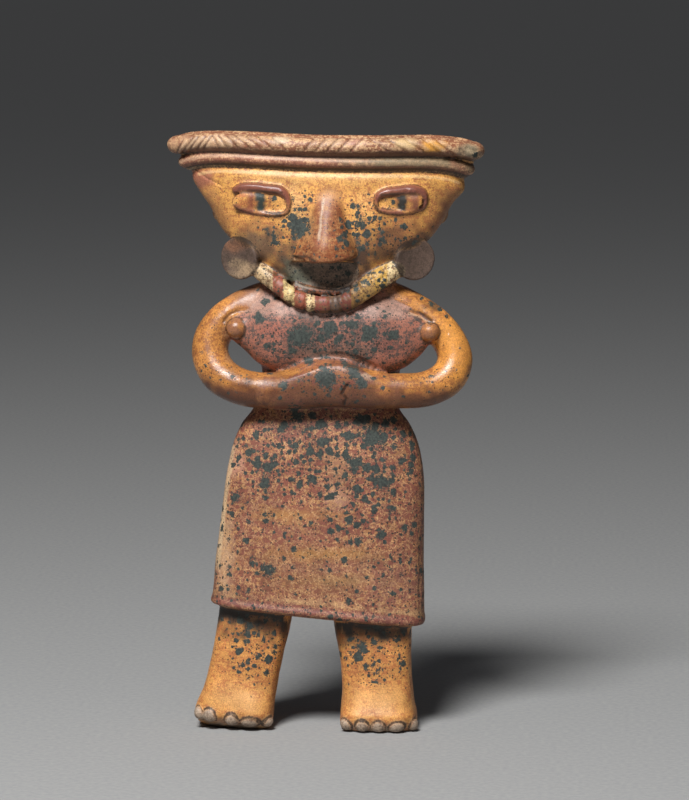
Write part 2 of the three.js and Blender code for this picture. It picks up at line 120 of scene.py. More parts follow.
# %% Smooth values between the stations, with no overshoot
HEIGHT, MIDDLE, HALF, AHEAD, BEHIND, SQUARE = range(6)


def clamped(value):
    return min(1, max(0, value))


def slope_at(keys, i, column):
    def rise(a, b):
        return (keys[b][column] - keys[a][column]) / (keys[b][0] - keys[a][0])
    if i == 0:
        return rise(0, 1)
    if i == len(keys) - 1:
        return rise(i - 1, i)
    before = rise(i - 1, i)
    after = rise(i, i + 1)
    return 0 if before * after <= 0 else 2 * before * after / (before + after)


def value_at(keys, at, column):
    i = next((n - 1 for n, key in enumerate(keys) if key[0] >= at), len(keys) - 2)
    i = min(len(keys) - 2, max(0, i))
    gap = keys[i + 1][0] - keys[i][0]
    t = clamped((at - keys[i][0]) / gap)
    keep = (1 + 2 * t) * (1 - t) ** 2
    return (keys[i][column] * keep + keys[i + 1][column] * (1 - keep)
            + gap * slope_at(keys, i, column) * t * (1 - t) ** 2
            - gap * slope_at(keys, i + 1, column) * t * t * (1 - t))


def squared(across, deep, power):
    return [math.copysign(abs(part) ** (2 / power), part) for part in (across, deep)]


print("halfway from 0 to 10:", value_at([(0, 0), (1, 10)], 0.5, 1))

# %% A rod with many rows, and a hoop: the plain shapes that are warped

# The radius of a hoop's middle line
HOOP = 2


def rod(sides, cuts):
    """An upright rod with closed ends, 1 in radius and 1 tall, cut into rows."""
    bm = bmesh.new()
    bmesh.ops.create_cone(bm, cap_ends=True, segments=sides, radius1=1, radius2=1, depth=1)
    upright = [edge for edge in bm.edges if abs(edge.verts[0].co.z - edge.verts[1].co.z) > 0.5]
    bmesh.ops.subdivide_edges(bm, edges=upright, cuts=cuts, use_grid_fill=True)
    return bm


def spun(bm, axis, steps):
    """A profile turned once round an axis through the origin."""
    bmesh.ops.spin(bm, geom=bm.verts[:] + bm.edges[:], cent=(0, 0, 0), axis=axis,
                   angle=2 * math.pi, steps=steps, use_merge=True)
    return bm


def hoop(sides, steps):
    """A level ring round the origin, with a round section 1 in radius."""
    bm = bmesh.new()
    circle = bmesh.ops.create_circle(bm, segments=sides, radius=1)["verts"]
    upright = Matrix.Translation((HOOP, 0, 0)) @ Matrix.Rotation(math.pi / 2, 4, "X")
    bmesh.ops.transform(bm, verts=circle, matrix=upright)
    return spun(bm, (0, 0, 1), steps)


# %% A lump: a rod whose rows are moved onto their sections

# Millimetres between the rows, and the sides of a lump and of a wide lump
ROW = 0.7
SIDES = 96
WIDE_SIDES = 160


def lump(stations, depth=0, sides=SIDES):
    bottom = stations[0][HEIGHT]
    tall = stations[-1][HEIGHT] - bottom
    bm = rod(sides, round(tall / ROW))
    sections = {}
    for v in bm.verts:
        z = round(bottom + (v.co.z + 0.5) * tall, 4)
        if z not in sections:
            sections[z] = [value_at(stations, z, column) for column in range(1, 6)]
        middle, half, ahead, behind, square = sections[z]
        across, deep = squared(v.co.x, v.co.y, square)
        v.co = (middle + across * half, depth + deep * (ahead if deep < 0 else behind), z)
    return bm


def moved(bm, place):
    for v in bm.verts:
        v.co = place(v.co)
    return bm


def laid_across(stations, depth):
    """A lump laid on its side, so that its first column runs across the body."""
    bm = moved(lump(stations, depth), lambda co: Vector((co.z, co.y, co.x)))
    bmesh.ops.reverse_faces(bm, faces=bm.faces)
    return bm


def front_of(stations, x, z):
    share = min(1, abs((x - value_at(stations, z, MIDDLE)) / value_at(stations, z, HALF)))
    power = value_at(stations, z, SQUARE)
    return -value_at(stations, z, AHEAD) * (1 - share ** power) ** (1 / power)


# %% A smooth path through points, and the coil of clay that follows it

# Millimetres between the rows of a coil and of a fine coil, and the radius that is left at an open end
GAP = 0.5
FINE_GAP = 0.3
TIP = 0.02


def smooth_path(points, closed, gap):
    """Places along a curve through the points, about gap apart; what a point carries goes along."""
    rows = [Vector(point) for point in points]
    count = len(rows)
    if closed:
        ends = [rows[-1], *rows, rows[0], rows[1]]
        spans = count
    else:
        ends = [2 * rows[0] - rows[1], *rows, 2 * rows[-1] - rows[-2]]
        spans = count - 1
    path = []
    for i in range(spans):
        p0, p1, p2, p3 = ends[i:i + 4]
        d0, d1, d2 = (math.sqrt((b.xyz - a.xyz).length) for a, b in ((p0, p1), (p1, p2), (p2, p3)))
        start = ((p1 - p0) / d0 - (p2 - p0) / (d0 + d1) + (p2 - p1) / d1) * d1
        finish = ((p2 - p1) / d1 - (p3 - p1) / (d1 + d2) + (p3 - p2) / d2) * d1
        steps = max(2, round((p2.xyz - p1.xyz).length / gap))
        for step in range(steps):
            t = step / steps
            keep = (1 + 2 * t) * (1 - t) ** 2
            path.append(p1 * keep + p2 * (1 - keep) + start * t * (1 - t) ** 2 - finish * t * t * (1 - t))
    return path if closed else [*path, rows[-1]]


def row_of(co, closed, count):
    """Which row of a rod or hoop a vertex is in, and its place in the row's section."""
    if closed:
        row = round(math.atan2(co.y, co.x) / (2 * math.pi) * count) % count
        return row, math.hypot(co.x, co.y) - HOOP, co.z
    return round((co.z + 0.5) * (count - 1)), co.x, co.y


def coil(points, closed=False, sides=24, facing=(0, 1, 0), gap=GAP, flat=1):
    """A coil with a round section. Each point is X, Y, Z and radius, and open ends are rounded."""
    path = smooth_path(points, closed, gap)
    count = len(path)
    travelled = [0]
    for a, b in zip(path, path[1:]):
        travelled.append(travelled[-1] + (b.xyz - a.xyz).length)
    bm = hoop(sides, count) if closed else rod(sides, count - 2)
    for v in bm.verts:
        row, one, two = row_of(v.co, closed, count)
        before = path[row - 1] if closed or row else path[0]
        after = path[(row + 1) % count] if closed or row < count - 1 else path[-1]
        along = (after.xyz - before.xyz).normalized()
        side = along.cross(Vector(facing)).normalized()
        radius = path[row].w
        to_end = min(travelled[row], travelled[-1] - travelled[row])
        if not closed and to_end < radius:
            radius = math.sqrt(radius ** 2 - (radius - to_end) ** 2) + TIP
        offset = side * (one * radius) + along.cross(side) * (two * radius)
        v.co = path[row].xyz + Vector((offset.x, offset.y * flat, offset.z))
    bmesh.ops.recalc_face_normals(bm, faces=bm.faces)
    return bm


def bead(place, across, ahead, up, sides=24):
    bm = bmesh.new()
    shape = Matrix.Translation(place) @ Matrix.Diagonal((across, ahead, up, 1))
    bmesh.ops.create_uvsphere(bm, u_segments=sides, v_segments=sides // 2, radius=1, matrix=shape)
    return bm


# %% The box of finished forms
FORMS = {}


def keep(name, forms):
    FORMS[name] = forms
    print(name + ":", len(forms), "of clay,", sum(len(bm.faces) for bm in forms), "faces")


# %% [markdown]
# ## Skirt
#
# The wide part of the body is a flat slab that reads as a tube skirt, with a rolled rim and a hem that
# runs down to the right. It could be an extruded outline, but its sections grow rounder upward, so a
# lump with stations fits it better. The stations are level, and the hem is tilted after them.

# %% Skirt
SKIRT = [
    (32.0, -2.1, 29.0, 10.2, 10.0, 3.2),
    (32.6, -2.1, 30.7, 12.0, 11.6, 3.4),
    (33.8, -2.1, 31.0, 12.4, 12.0, 3.4),
    (35.2, -2.0, 30.6, 11.8, 11.4, 3.4),
    (46.0, -1.7, 30.1, 11.5, 11.6, 3.2),
    (58.0, -1.0, 29.4, 11.2, 12.0, 3.1),
    (70.0, -0.2, 28.7, 10.9, 12.4, 3.0),
    (80.0, 0.1, 27.1, 10.2, 12.0, 2.8),
    (87.0, 0.1, 24.4, 9.2, 10.4, 2.6),
    (92.0, 0.3, 20.9, 8.0, 8.4, 2.5),
    (101.0, 0.6, 18.5, 6.6, 6.4, 2.4),
]
HEM_SLOPE = -0.098
HEM_REACH = 22


def make_skirt():
    def slope(co):
        share = clamped(1 - (co.z - SKIRT[0][HEIGHT]) / HEM_REACH)
        return Vector((co.x, co.y, co.z + HEM_SLOPE * co.x * share))
    return [moved(lump(SKIRT, sides=WIDE_SIDES), slope)]


keep("skirt", make_skirt())

# %% [markdown]
# ## Trunk and chest
#
# The trunk is a second lump that runs up into the neck. The chest is a spindle of clay laid across it,
# so its stations run from left to right, and a small ball closes each end. A sculpted body would need
# many strokes here, and two lumps and two balls give the same few swellings with sizes to hold on to.

# %% Trunk, chest and nubs. The nubs are X, Y, Z and radius
TORSO = [
    (86.0, 0.0, 17.0, 6.5, 6.0, 2.4),
    (97.0, 0.8, 19.2, 7.0, 6.6, 2.4),
    (102.5, 1.6, 19.9, 7.4, 7.0, 2.4),
    (108.0, 1.4, 21.2, 8.2, 7.6, 2.4),
    (114.0, 1.2, 24.0, 8.6, 8.0, 2.6),
    (119.0, 0.6, 24.2, 7.8, 8.0, 3.0),
    (122.5, 0.4, 22.8, 6.8, 7.4, 3.2),
    (126.0, 0.6, 20.6, 5.8, 6.4, 3.0),
    (128.6, 0.8, 18.4, 5.2, 5.4, 2.6),
    (131.0, 0.8, 14.6, 4.8, 5.0, 2.2),
    (137.0, 0.8, 9.6, 4.6, 5.0, 2.0),
]
CHEST = [
    (-27.0, 114.5, 2.6, 2.0, 2.0, 2.0),
    (-23.5, 114.3, 5.2, 4.0, 4.0, 2.2),
    (-18.0, 113.2, 9.0, 6.2, 5.0, 2.3),
    (-11.0, 113.2, 11.4, 7.4, 5.0, 2.4),
    (1.5, 113.4, 11.0, 7.0, 5.0, 2.4),
    (14.0, 113.0, 11.3, 7.4, 5.0, 2.4),
    (21.5, 112.8, 9.7, 6.2, 5.0, 2.3),
    (27.0, 113.4, 6.4, 4.0, 4.0, 2.2),
    (30.5, 113.8, 2.6, 2.0, 2.0, 2.0),
]
CHEST_DEPTH = -3.4
NUBS = [(-24.9, -6.6, 115.0, 3.0), (30.0, -6.2, 114.3, 2.8)]

keep("chest", [lump(TORSO), laid_across(CHEST, CHEST_DEPTH)])
keep("nubs", [bead((x, y, z), r, r, r) for x, y, z, r in NUBS])

# %% [markdown]
# ## Arms and hands
#
# Each arm is one rolled coil that leaves the shoulder, swings out round a hole and comes back to the
# middle, where the hands lie over each other as one flat swelling. A curve with a bevel could make the
# arms. A coil in mesh code keeps the same path and radius, and needs no conversion afterwards.

# %% Arms: X, Y, Z and radius of each coil from the shoulder to the hands
LEFT_ARM = [
    (-13.0, 0.6, 124.0, 4.6),
    (-19.0, 0.4, 122.4, 5.1),
    (-24.9, 0.0, 119.6, 5.2),
    (-29.6, -0.6, 116.0, 5.2),
    (-32.5, -1.4, 111.2, 5.3),
    (-32.6, -2.6, 106.4, 5.4),
    (-29.8, -4.4, 101.6, 5.5),
    (-24.2, -6.6, 98.6, 5.3),
    (-17.6, -8.8, 97.7, 5.2),
    (-10.0, -9.6, 98.4, 5.0),
    (-2.0, -9.6, 99.2, 4.6),
]
RIGHT_ARM = [
    (13.0, 0.6, 124.2, 4.6),
    (19.5, 0.4, 122.8, 5.1),
    (26.1, 0.0, 119.5, 5.1),
    (31.4, -0.6, 115.8, 5.1),
    (35.5, -1.4, 111.2, 5.0),
    (37.1, -2.6, 106.2, 5.1),
    (35.2, -4.4, 101.3, 5.3),
    (29.5, -6.6, 98.3, 5.2),
    (21.8, -8.8, 97.8, 5.1),
    (14.6, -9.6, 98.2, 5.0),
    (7.0, -9.6, 99.0, 4.6),
]
keep("arms", [coil(points, sides=48) for points in (LEFT_ARM, RIGHT_ARM)])

# %% Hands: a lump laid across the waist
HANDS = [
    (-19.5, 97.4, 3.2, 3.4, 4.0, 2.0),
    (-16.0, 97.3, 4.7, 4.8, 5.0, 2.0),
    (-12.5, 97.7, 5.5, 5.4, 5.0, 2.1),
    (-8.0, 98.7, 6.3, 5.6, 5.0, 2.3),
    (-3.4, 99.8, 7.0, 5.7, 5.0, 2.6),
    (2.0, 100.4, 7.2, 5.7, 5.0, 2.8),
    (7.0, 100.0, 7.0, 5.7, 5.0, 2.8),
    (12.0, 98.9, 6.2, 5.5, 5.0, 2.5),
    (16.5, 98.0, 5.3, 5.2, 5.0, 2.2),
    (20.0, 97.7, 4.6, 4.6, 5.0, 2.0),
    (23.0, 97.7, 3.2, 3.4, 4.0, 2.0),
]
HANDS_DEPTH = -9.6
keep("hands", [laid_across(HANDS, HANDS_DEPTH)])

# %% [markdown]
# ## Legs and toes
#
# Two short solid legs spread into flat feet. The left foot is turned outward, so its lower stations are
# slanted by a shear that fades out at the ankle. The toes are small pellets pressed along the front edge.
# A row of beads set into the foot's own front looks the same, and stays right when the foot changes.

# %% Legs
LEFT_LEG = [
    (-0.6, -25.4, 9.8, 4.8, 7.2, 3.2),
    (1.0, -26.2, 11.2, 7.8, 8.7, 3.4),
    (4.2, -26.3, 11.6, 10.4, 8.8, 3.4),
    (7.4, -25.6, 11.2, 9.8, 8.2, 3.2),
    (11.0, -24.5, 10.7, 8.8, 7.4, 3.2),
    (15.0, -23.6, 10.4, 8.1, 7.0, 3.2),
    (21.0, -22.3, 10.4, 7.8, 6.8, 3.2),
    (27.0, -21.0, 10.7, 7.5, 6.5, 3.2),
    (40.0, -18.9, 10.8, 7.3, 6.5, 3.2),
]
RIGHT_LEG = [
    (-0.6, 15.4, 10.2, 8.2, 7.4, 3.2),
    (0.6, 15.4, 11.2, 9.9, 8.8, 3.4),
    (3.8, 15.4, 11.1, 11.4, 8.8, 3.4),
    (6.5, 15.2, 10.7, 10.2, 8.2, 3.2),
    (10.4, 15.1, 10.3, 8.9, 7.4, 3.2),
    (14.4, 14.8, 10.2, 8.2, 7.0, 3.2),
    (20.6, 14.4, 10.4, 7.8, 6.8, 3.2),
    (26.5, 13.9, 11.1, 7.5, 6.5, 3.2),
    (40.0, 12.9, 11.9, 7.3, 6.5, 3.2),
]
ANKLE = 11
SPLAY = math.tan(math.radians(14))


def splay(co):
    share = clamped(1 - co.z / ANKLE)
    return Vector((co.x, co.y - SPLAY * (co.x - LEFT_LEG[0][MIDDLE]) * share, co.z))


keep("legs", [moved(lump(LEFT_LEG), splay), lump(RIGHT_LEG)])

# %% Toes: X, Z and the half sizes across and up of each bead
LEFT_TOES = [
    (-35.7, 4.0, 2.0, 2.2),
    (-32.5, 3.9, 2.4, 2.4),
    (-26.2, 3.1, 2.5, 2.4),
    (-21.1, 2.5, 3.2, 2.1),
    (-16.3, 2.1, 2.0, 1.8),
]
RIGHT_TOES = [
    (6.9, 1.8, 2.4, 2.0),
    (11.3, 2.0, 2.5, 2.3),
    (15.8, 1.9, 2.5, 2.3),
    (20.8, 1.7, 2.8, 2.1),
    (25.3, 1.6, 2.0, 1.9),
]
TOE_AHEAD = 2.4
TOE_SUNK = 1.3


def make_toes():
    def row(leg, toes, turn):
        for x, z, across, up in toes:
            yield bead(turn(Vector((x, front_of(leg, x, z) + TOE_SUNK, z))), across, TOE_AHEAD, up)
    return [*row(LEFT_LEG, LEFT_TOES, splay), *row(RIGHT_LEG, RIGHT_TOES, lambda co: co)]


keep("toes", make_toes())

# %% [markdown]
# ## Head
#
# The head is a wide curved slab, narrow at the chin and broad at the brow, and hollowed behind the
# headband. A lump gives the slab, and a bend that grows with the square of the width curves it back at
# the sides. What sits on the face is first placed on the slab's own front and then bent with it. The
# upper edge of the face follows the thread of clay above the brow, so the thread's sizes come first.

# %% Head
HEAD = [
    (123.6, 0.5, 6.0, 5.4, 4.0, 2.2),
    (125.0, 0.5, 10.0, 7.6, 5.0, 2.3),
    (127.6, 0.6, 13.8, 9.0, 5.8, 2.4),
    (131.0, 0.7, 17.4, 9.8, 6.6, 2.6),
    (135.0, 0.7, 21.8, 10.4, 7.2, 2.8),
    (139.5, 1.2, 28.0, 10.8, 7.8, 3.0),
    (144.0, 1.1, 31.7, 10.8, 8.3, 3.2),
    (149.0, 1.2, 34.4, 10.6, 8.6, 3.2),
    (154.0, 1.0, 37.5, 10.2, 8.7, 3.2),
    (158.6, 0.6, 39.0, 9.9, 8.6, 3.2),
    (160.2, 0.5, 38.8, 9.0, 8.4, 3.2),
    (161.4, 0.4, 40.2, 7.4, 7.4, 3.2),
    (167.0, 0.0, 42.6, 7.2, 7.2, 3.2),
]
HEAD_BEND = 0.0034

# The heights between which the face's upper edge takes up the run of the thread
BROW = (150, 158)

# A ring has a height, a sag in the middle, a droop to the right, a droop at its ends, the middle and
# half of its width, its reach ahead and behind, and the radii of its section outward and upward
THREAD = dict(z=161.2, sag=0.7, droop=0.024, ends=2.2, middle=0.2,
              half=39.4, ahead=8.3, behind=8.1, out=1.3, up=0.6)


def bend_head(co):
    return Vector((co.x, co.y + HEAD_BEND * co.x ** 2, co.z))


def face_depth(x, z):
    return front_of(HEAD, x, z) + HEAD_BEND * x * x


def ring_lift(ring, x):
    """How far a ring, or the edge of the face below it, is raised at a place across the head."""
    across = min(1, max(-1, (x - ring["middle"]) / ring["half"]))
    sag = ring["sag"] * math.cos(math.pi / 2 * across) ** 2
    return -sag - ring["droop"] * x - ring["ends"] * across ** 8


def make_head():
    def place(co):
        share = clamped((co.z - BROW[0]) / (BROW[1] - BROW[0]))
        lift = ring_lift(THREAD, co.x) * share * share * (3 - 2 * share)
        return bend_head(Vector((co.x, co.y, co.z + lift)))
    return [moved(lump(HEAD, sides=WIDE_SIDES), place)]


keep("head", make_head())

# %% [markdown]
# ## Headband
#
# A thick twisted rope, a thinner coil and a thread of clay run round the head and sag a little in the
# middle. A hoop that is stretched to the head's own section makes each of them. The twist is cut later.

# %% Headband
BAND = dict(z=167.6, sag=0.8, droop=0.018, ends=1.8, middle=-0.4,
            half=42.3, ahead=9.2, behind=8.4, out=3.2, up=2.7)
COIL = dict(z=163.0, sag=0.8, droop=0.024, ends=2.2, middle=-0.1,
            half=40.6, ahead=8.9, behind=8.3, out=1.9, up=1.75)

# The squareness of the rings, seen from above
RING_SQUARE = 3.2


def make_ring(ring, sides=40, steps=240):
    bm = hoop(sides, steps)
    for v in bm.verts:
        around = math.atan2(v.co.y, v.co.x)
        out = math.hypot(v.co.x, v.co.y) - HOOP
        across, deep = squared(math.cos(around), math.sin(around), RING_SQUARE)
        reach = ring["ahead"] if deep < 0 else ring["behind"]
        x = ring["middle"] + across * (ring["half"] + out * ring["out"])
        z = ring["z"] + v.co.z * ring["up"] + ring_lift(ring, x)
        v.co = bend_head(Vector((x, deep * (reach + out * ring["out"]), z)))
    bmesh.ops.recalc_face_normals(bm, faces=bm.faces)
    return bm


for name, ring in dict(band=BAND, coil=COIL, thread=THREAD).items():
    keep(name, [make_ring(ring)])

# %% [markdown]
# ## Face
#
# The nose is a pinched wedge, the eyelids are thin coils laid round a flat pad, and the pupil is a
# smaller pad. The lower lip is a short coil under the hollow of the mouth. Each could be raised from the
# head by sculpting, but the potter added them as lumps, and added lumps leave the same crisp edges.

# %% Nose
NOSE = [
    (134.0, 0.7, 8.2, 6.4, 3.0, 2.2),
    (134.7, 0.8, 9.0, 8.0, 3.0, 1.8),
    (138.0, 0.9, 8.4, 7.6, 3.0, 1.6),
    (143.0, 1.1, 6.6, 5.7, 3.0, 1.6),
    (148.0, 1.4, 4.9, 3.7, 3.0, 1.7),
    (152.0, 1.6, 4.0, 1.9, 3.0, 1.8),
    (155.5, 1.7, 3.2, 0.4, 3.0, 2.0),
]
NOSE_SUNK = 1

# The base of the nose curves up to its sides, and this fades out over the reach
NOSE_LIFT = 0.02
NOSE_REACH = 9


def make_nose():
    def place(co):
        lift = NOSE_LIFT * co.x ** 2 * max(0, 1 - (co.z - NOSE[0][HEIGHT]) / NOSE_REACH)
        return Vector((co.x, co.y + face_depth(0, co.z) + NOSE_SUNK, co.z + lift))
    return [moved(lump(NOSE), place)]


keep("nose", make_nose())

# %% Eyes: lids are X, Z and radius, pads and pupils are X, Z, half width and half height
EYES = [
    dict(
        lids=[(-25.8, 153.7, 0.9), (-23.8, 155.1, 1.05), (-20.0, 155.4, 1.15), (-15.6, 155.0, 1.2),
              (-11.8, 154.4, 1.15), (-10.0, 152.7, 0.75), (-9.6, 150.4, 0.6), (-10.2, 148.5, 0.6),
              (-12.6, 147.7, 0.6), (-17.0, 147.9, 0.65), (-21.4, 148.8, 0.65), (-25.2, 150.4, 0.55)],
        closed=False, pad=(-18.3, 151.2, 7.9, 3.4), pupil=(-17.7, 151.3, 2.7, 3.3)),
    dict(
        lids=[(15.6, 152.9, 0.9), (17.6, 154.0, 1.1), (21.5, 154.5, 1.15), (25.6, 154.8, 1.25),
              (28.0, 153.7, 1.2), (28.7, 151.8, 0.9), (28.3, 150.0, 0.65), (26.2, 148.9, 0.65),
              (22.0, 148.3, 0.65), (17.8, 148.6, 0.65), (15.4, 149.6, 0.55), (15.0, 151.3, 0.6)],
        closed=True, pad=(21.8, 151.2, 6.6, 3.2), pupil=(22.4, 151.3, 2.2, 3.0)),
]
PAD_HEIGHT = 0.6
PAD_SUNK = 0.2
PUPIL_HEIGHT = 1.0
LID_PROUD = 0.4


def make_lids():
    lids = []
    for eye in EYES:
        points = [(x, face_depth(x, z) - radius * LID_PROUD, z, radius) for x, z, radius in eye["lids"]]
        lids.append(coil(points, closed=eye["closed"], gap=FINE_GAP))
    return lids


def make_pads(which, height):
    return [bead((x, face_depth(x, z) + PAD_SUNK, z), half, height, tall, 32)
            for x, z, half, tall in (eye[which] for eye in EYES)]


keep("lids", make_lids())
keep("pads", make_pads("pad", PAD_HEIGHT))
keep("pupils", make_pads("pupil", PUPIL_HEIGHT))

# %% Lip
LIP = [(-8.8, 127.9), (-4.6, 126.4), (0.5, 125.6), (5.8, 125.7), (9.2, 127.0)]
LIP_RADIUS = 1.2
LIP_PROUD = 0.2

lip_points = [(x, face_depth(x, z) - LIP_PROUD, z, LIP_RADIUS) for x, z in LIP]
keep("lip", [coil(lip_points, gap=FINE_GAP)])

# %% [markdown]
# ## Ears, ear discs and necklace
#
# The ears are short rolls at the sides of the head. The ear discs are round pellets with a dished face.
# They could be squashed beads, but a profile that is spun round its own axis gives the rim and the dish
# at once. The necklace is one coil that goes round the neck, flattened a little against the chest.

# %% Ears
EARS = [
    [(-31.0, 149.6), (-30.4, 147.2), (-29.2, 144.8)],
    [(33.2, 149.4), (32.6, 147.0), (31.2, 144.6)],
]
EAR_RADIUS = 2.4
EAR_DEPTH = 4.4

keep("ears", [coil([(x, EAR_DEPTH, z, EAR_RADIUS) for x, z in places]) for places in EARS])

# %% Ear discs: place, and turn, lean and roll in degrees
DISCS = [
    dict(x=-24.0, y=-4.4, z=134.8, turn=-28, lean=4, roll=-10),
    dict(x=25.6, y=-4.0, z=134.8, turn=28, lean=4, roll=14),
]
DISC_RADIUS = 6.2
DISC_THICKNESS = 2.4
DISC_RIM = 0.9
DISC_HOLLOW = 0.7
DISC_STEPS = 48

# Radii of the dish as shares, how deep its middle is and how much shallower its rim is
DISH = (1, 0.8, 0.55, 0.3, 0)
DISH_MIDDLE = 1.1
DISH_RIM = 0.6


def make_disc(place):
    middle = DISC_THICKNESS / 2
    inner = DISC_RADIUS - 2 * DISC_RIM
    dish = [(inner * r, middle - DISC_HOLLOW * (DISH_MIDDLE - DISH_RIM * r * r)) for r in DISH]
    profile = [(0, -middle), (DISC_RADIUS - DISC_RIM, -middle), (DISC_RADIUS, -middle + DISC_RIM),
               (DISC_RADIUS, middle - DISC_RIM / 2), (DISC_RADIUS - DISC_RIM / 2, middle), *dish]
    bm = bmesh.new()
    corners = [bm.verts.new((across, up, 0)) for across, up in profile]
    for a, b in zip(corners, corners[1:]):
        bm.edges.new((a, b))
    spun(bm, (0, 1, 0), DISC_STEPS)
    bmesh.ops.remove_doubles(bm, verts=bm.verts, dist=0.001)
    turn = (Matrix.Rotation(math.radians(place["turn"]), 4, "Z")
            @ Matrix.Rotation(math.radians(place["roll"]), 4, "Y")
            @ Matrix.Rotation(math.pi + math.radians(place["lean"]), 4, "X"))
    spot = Matrix.Translation((place["x"], place["y"], place["z"]))
    bmesh.ops.transform(bm, verts=bm.verts, matrix=spot @ turn)
    bmesh.ops.recalc_face_normals(bm, faces=bm.faces)
    return bm


keep("discs", [make_disc(place) for place in DISCS])

# %% Necklace: X, Y, Z and radius, round the neck
NECKLACE = [
    (-17.9, -5.4, 131.0, 2.5),
    (-13.6, -8.0, 128.1, 2.5),
    (-8.7, -9.8, 124.7, 2.5),
    (-3.7, -10.6, 122.8, 2.5),
    (1.2, -10.8, 122.4, 2.5),
    (6.6, -10.5, 123.2, 2.7),
    (10.9, -9.8, 126.0, 3.1),
    (15.8, -7.8, 129.3, 3.1),
    (20.0, -5.2, 131.6, 2.7),
    (16.0, 1.6, 128.2, 2.0),
    (8.0, 5.0, 128.6, 2.2),
    (0.6, 5.9, 128.8, 2.2),
    (-7.0, 5.0, 128.6, 2.2),
    (-14.6, 1.6, 128.2, 2.0),
]
NECKLACE_FLAT = 0.75

keep("necklace", [coil(NECKLACE, closed=True, facing=(0, 0, 1), sides=32, flat=NECKLACE_FLAT)])

# %% [markdown]
# ## One skin of clay
#
# Where coils are pressed on, wet clay runs together and no seam is left inside. Boolean unions would
# leave hard lines between the forms. A voxel remesh does what the clay does: it samples the overlapping
# forms on a fine grid and wraps one closed skin round them. The hollow of the mouth is pressed in
# before the lower lip is laid on.

# %% Voxel remesh
FINE_VOXEL = 0.36
VOXEL = FINE_VOXEL


def to_mesh(bms, name):
    """Several bmeshes in one new mesh."""
    whole = bmesh.new()
    for bm in bms:
        part = bpy.data.meshes.new(name)
        bm.to_mesh(part)
        whole.from_mesh(part)
        bpy.data.meshes.remove(part)
    mesh = bpy.data.meshes.new(name)
    whole.to_mesh(mesh)
    whole.free()
    return mesh


def with_modifier(mesh, kind, **settings):
    """The mesh that is left once a modifier has worked on it."""
    obj = in_scene(bpy.data.objects.new("working_clay", mesh))
    modifier = obj.modifiers.new(kind, kind)
    for key, value in settings.items():
        setattr(modifier, key, value)
    shown = obj.evaluated_get(bpy.context.evaluated_depsgraph_get())
    result = bpy.data.meshes.new_from_object(shown)
    result.name = mesh.name
    bpy.data.objects.remove(obj)
    return result


def one_skin(bms):
    return with_modifier(to_mesh(bms, "clay"), "REMESH", mode="VOXEL", voxel_size=VOXEL, adaptivity=0)


# %% The hollow of the mouth, and how far above and behind it the skin still counts as its own
MOUTH = dict(x=0.0, z=131.0, half=10.0, tall=4.4, deep=2.2)
ROOF_GAP = 0.2
BACK_GAP = 0.5
MOUTH_FRONT = face_depth(MOUTH["x"], MOUTH["z"])


def in_mouth(co):
    """More than 0 in the hollow of the mouth, which the base of the nose roofs over."""
    if co.z > NOSE[0][HEIGHT] + ROOF_GAP or co.y > MOUTH_FRONT + MOUTH["deep"] + BACK_GAP:
        return 0
    across = (co.x - MOUTH["x"]) / MOUTH["half"]
    up = (co.z - MOUTH["z"]) / MOUTH["tall"]
    return 1 - abs(across) ** 4 - abs(up) ** 4


def press_mouth(bm):
    """Pushes the skin of the mouth back to the bottom of an oval hollow."""
    for v in bm.verts:
        inside = in_mouth(v.co)
        if inside > 0:
            v.co.y = max(v.co.y, MOUTH_FRONT + MOUTH["deep"] * math.sqrt(inside))


skin = bmesh.new()
skin.from_mesh(one_skin([bm for name, bms in FORMS.items() if name != "lip" for bm in bms]))
press_mouth(skin)
clay = one_skin([skin, *FORMS["lip"]])
print("skin of clay:", len(clay.vertices), "vertices")

# %% [markdown]
# ## Wet fingers and a pointed stick
#
# The potter smeared the shoulders and wrists into the body with a wet finger, and cut the twist of the
# rope headband with a stick. A bump in the material could show the cuts, but then the mesh on its own
# would lack them, so both are small moves of the skin's vertices. The marks are written down as the
# camera sees them, across and up in millimetres, because that is how they were read.

# %% Smooth the skin a little, and the joints a lot: X, Y, Z, radius and passes
SKIN_PASSES = 2
SMOOTHED = [
    (-20.5, -3.6, 121.6, 7.6, 60),
    (21.2, -3.6, 121.8, 7.6, 60),
    (-15.0, -12.0, 98.4, 5.6, 24),
    (19.0, -12.0, 98.4, 5.6, 24),
    (1.6, -11.0, 152.4, 5.0, 30),
]

# The finger goes over three circles, each smaller than the last, so that no rim is left
SHRINKING = (1, 0.85, 0.7)


def smooth(bm, verts, passes):
    for _ in range(passes):
        bmesh.ops.smooth_vert(bm, verts=verts, factor=0.5,
                              use_axis_x=True, use_axis_y=True, use_axis_z=True)


def wet_finger(bm):
    smooth(bm, bm.verts[:], SKIN_PASSES)
    for x, y, z, radius, passes in SMOOTHED:
        spot = Vector((x, y, z))
        passes = round(passes * (FINE_VOXEL / VOXEL) ** 2) // len(SHRINKING)
        for share in SHRINKING:
            smooth(bm, [v for v in bm.verts if (v.co - spot).length < radius * share], passes)


skin = bmesh.new()
skin.from_mesh(clay)
wet_finger(skin)
print("smoothed at", len(SMOOTHED), "places")

# %% Places as the camera sees them, kept in small squares so that a mark finds its own quickly
CELL = 2

# How deep the layer is that a mark reaches, and how far a normal has to point to the front
LAYER = 5
FACING_FRONT = -0.05
SEEN_ACROSS = math.sin(math.radians(CAMERA_AZIMUTH))
SEEN_UP = math.sin(math.radians(CAMERA_ELEVATION))


def seen(co):
    return co.x + co.y * SEEN_ACROSS, co.z + co.y * SEEN_UP


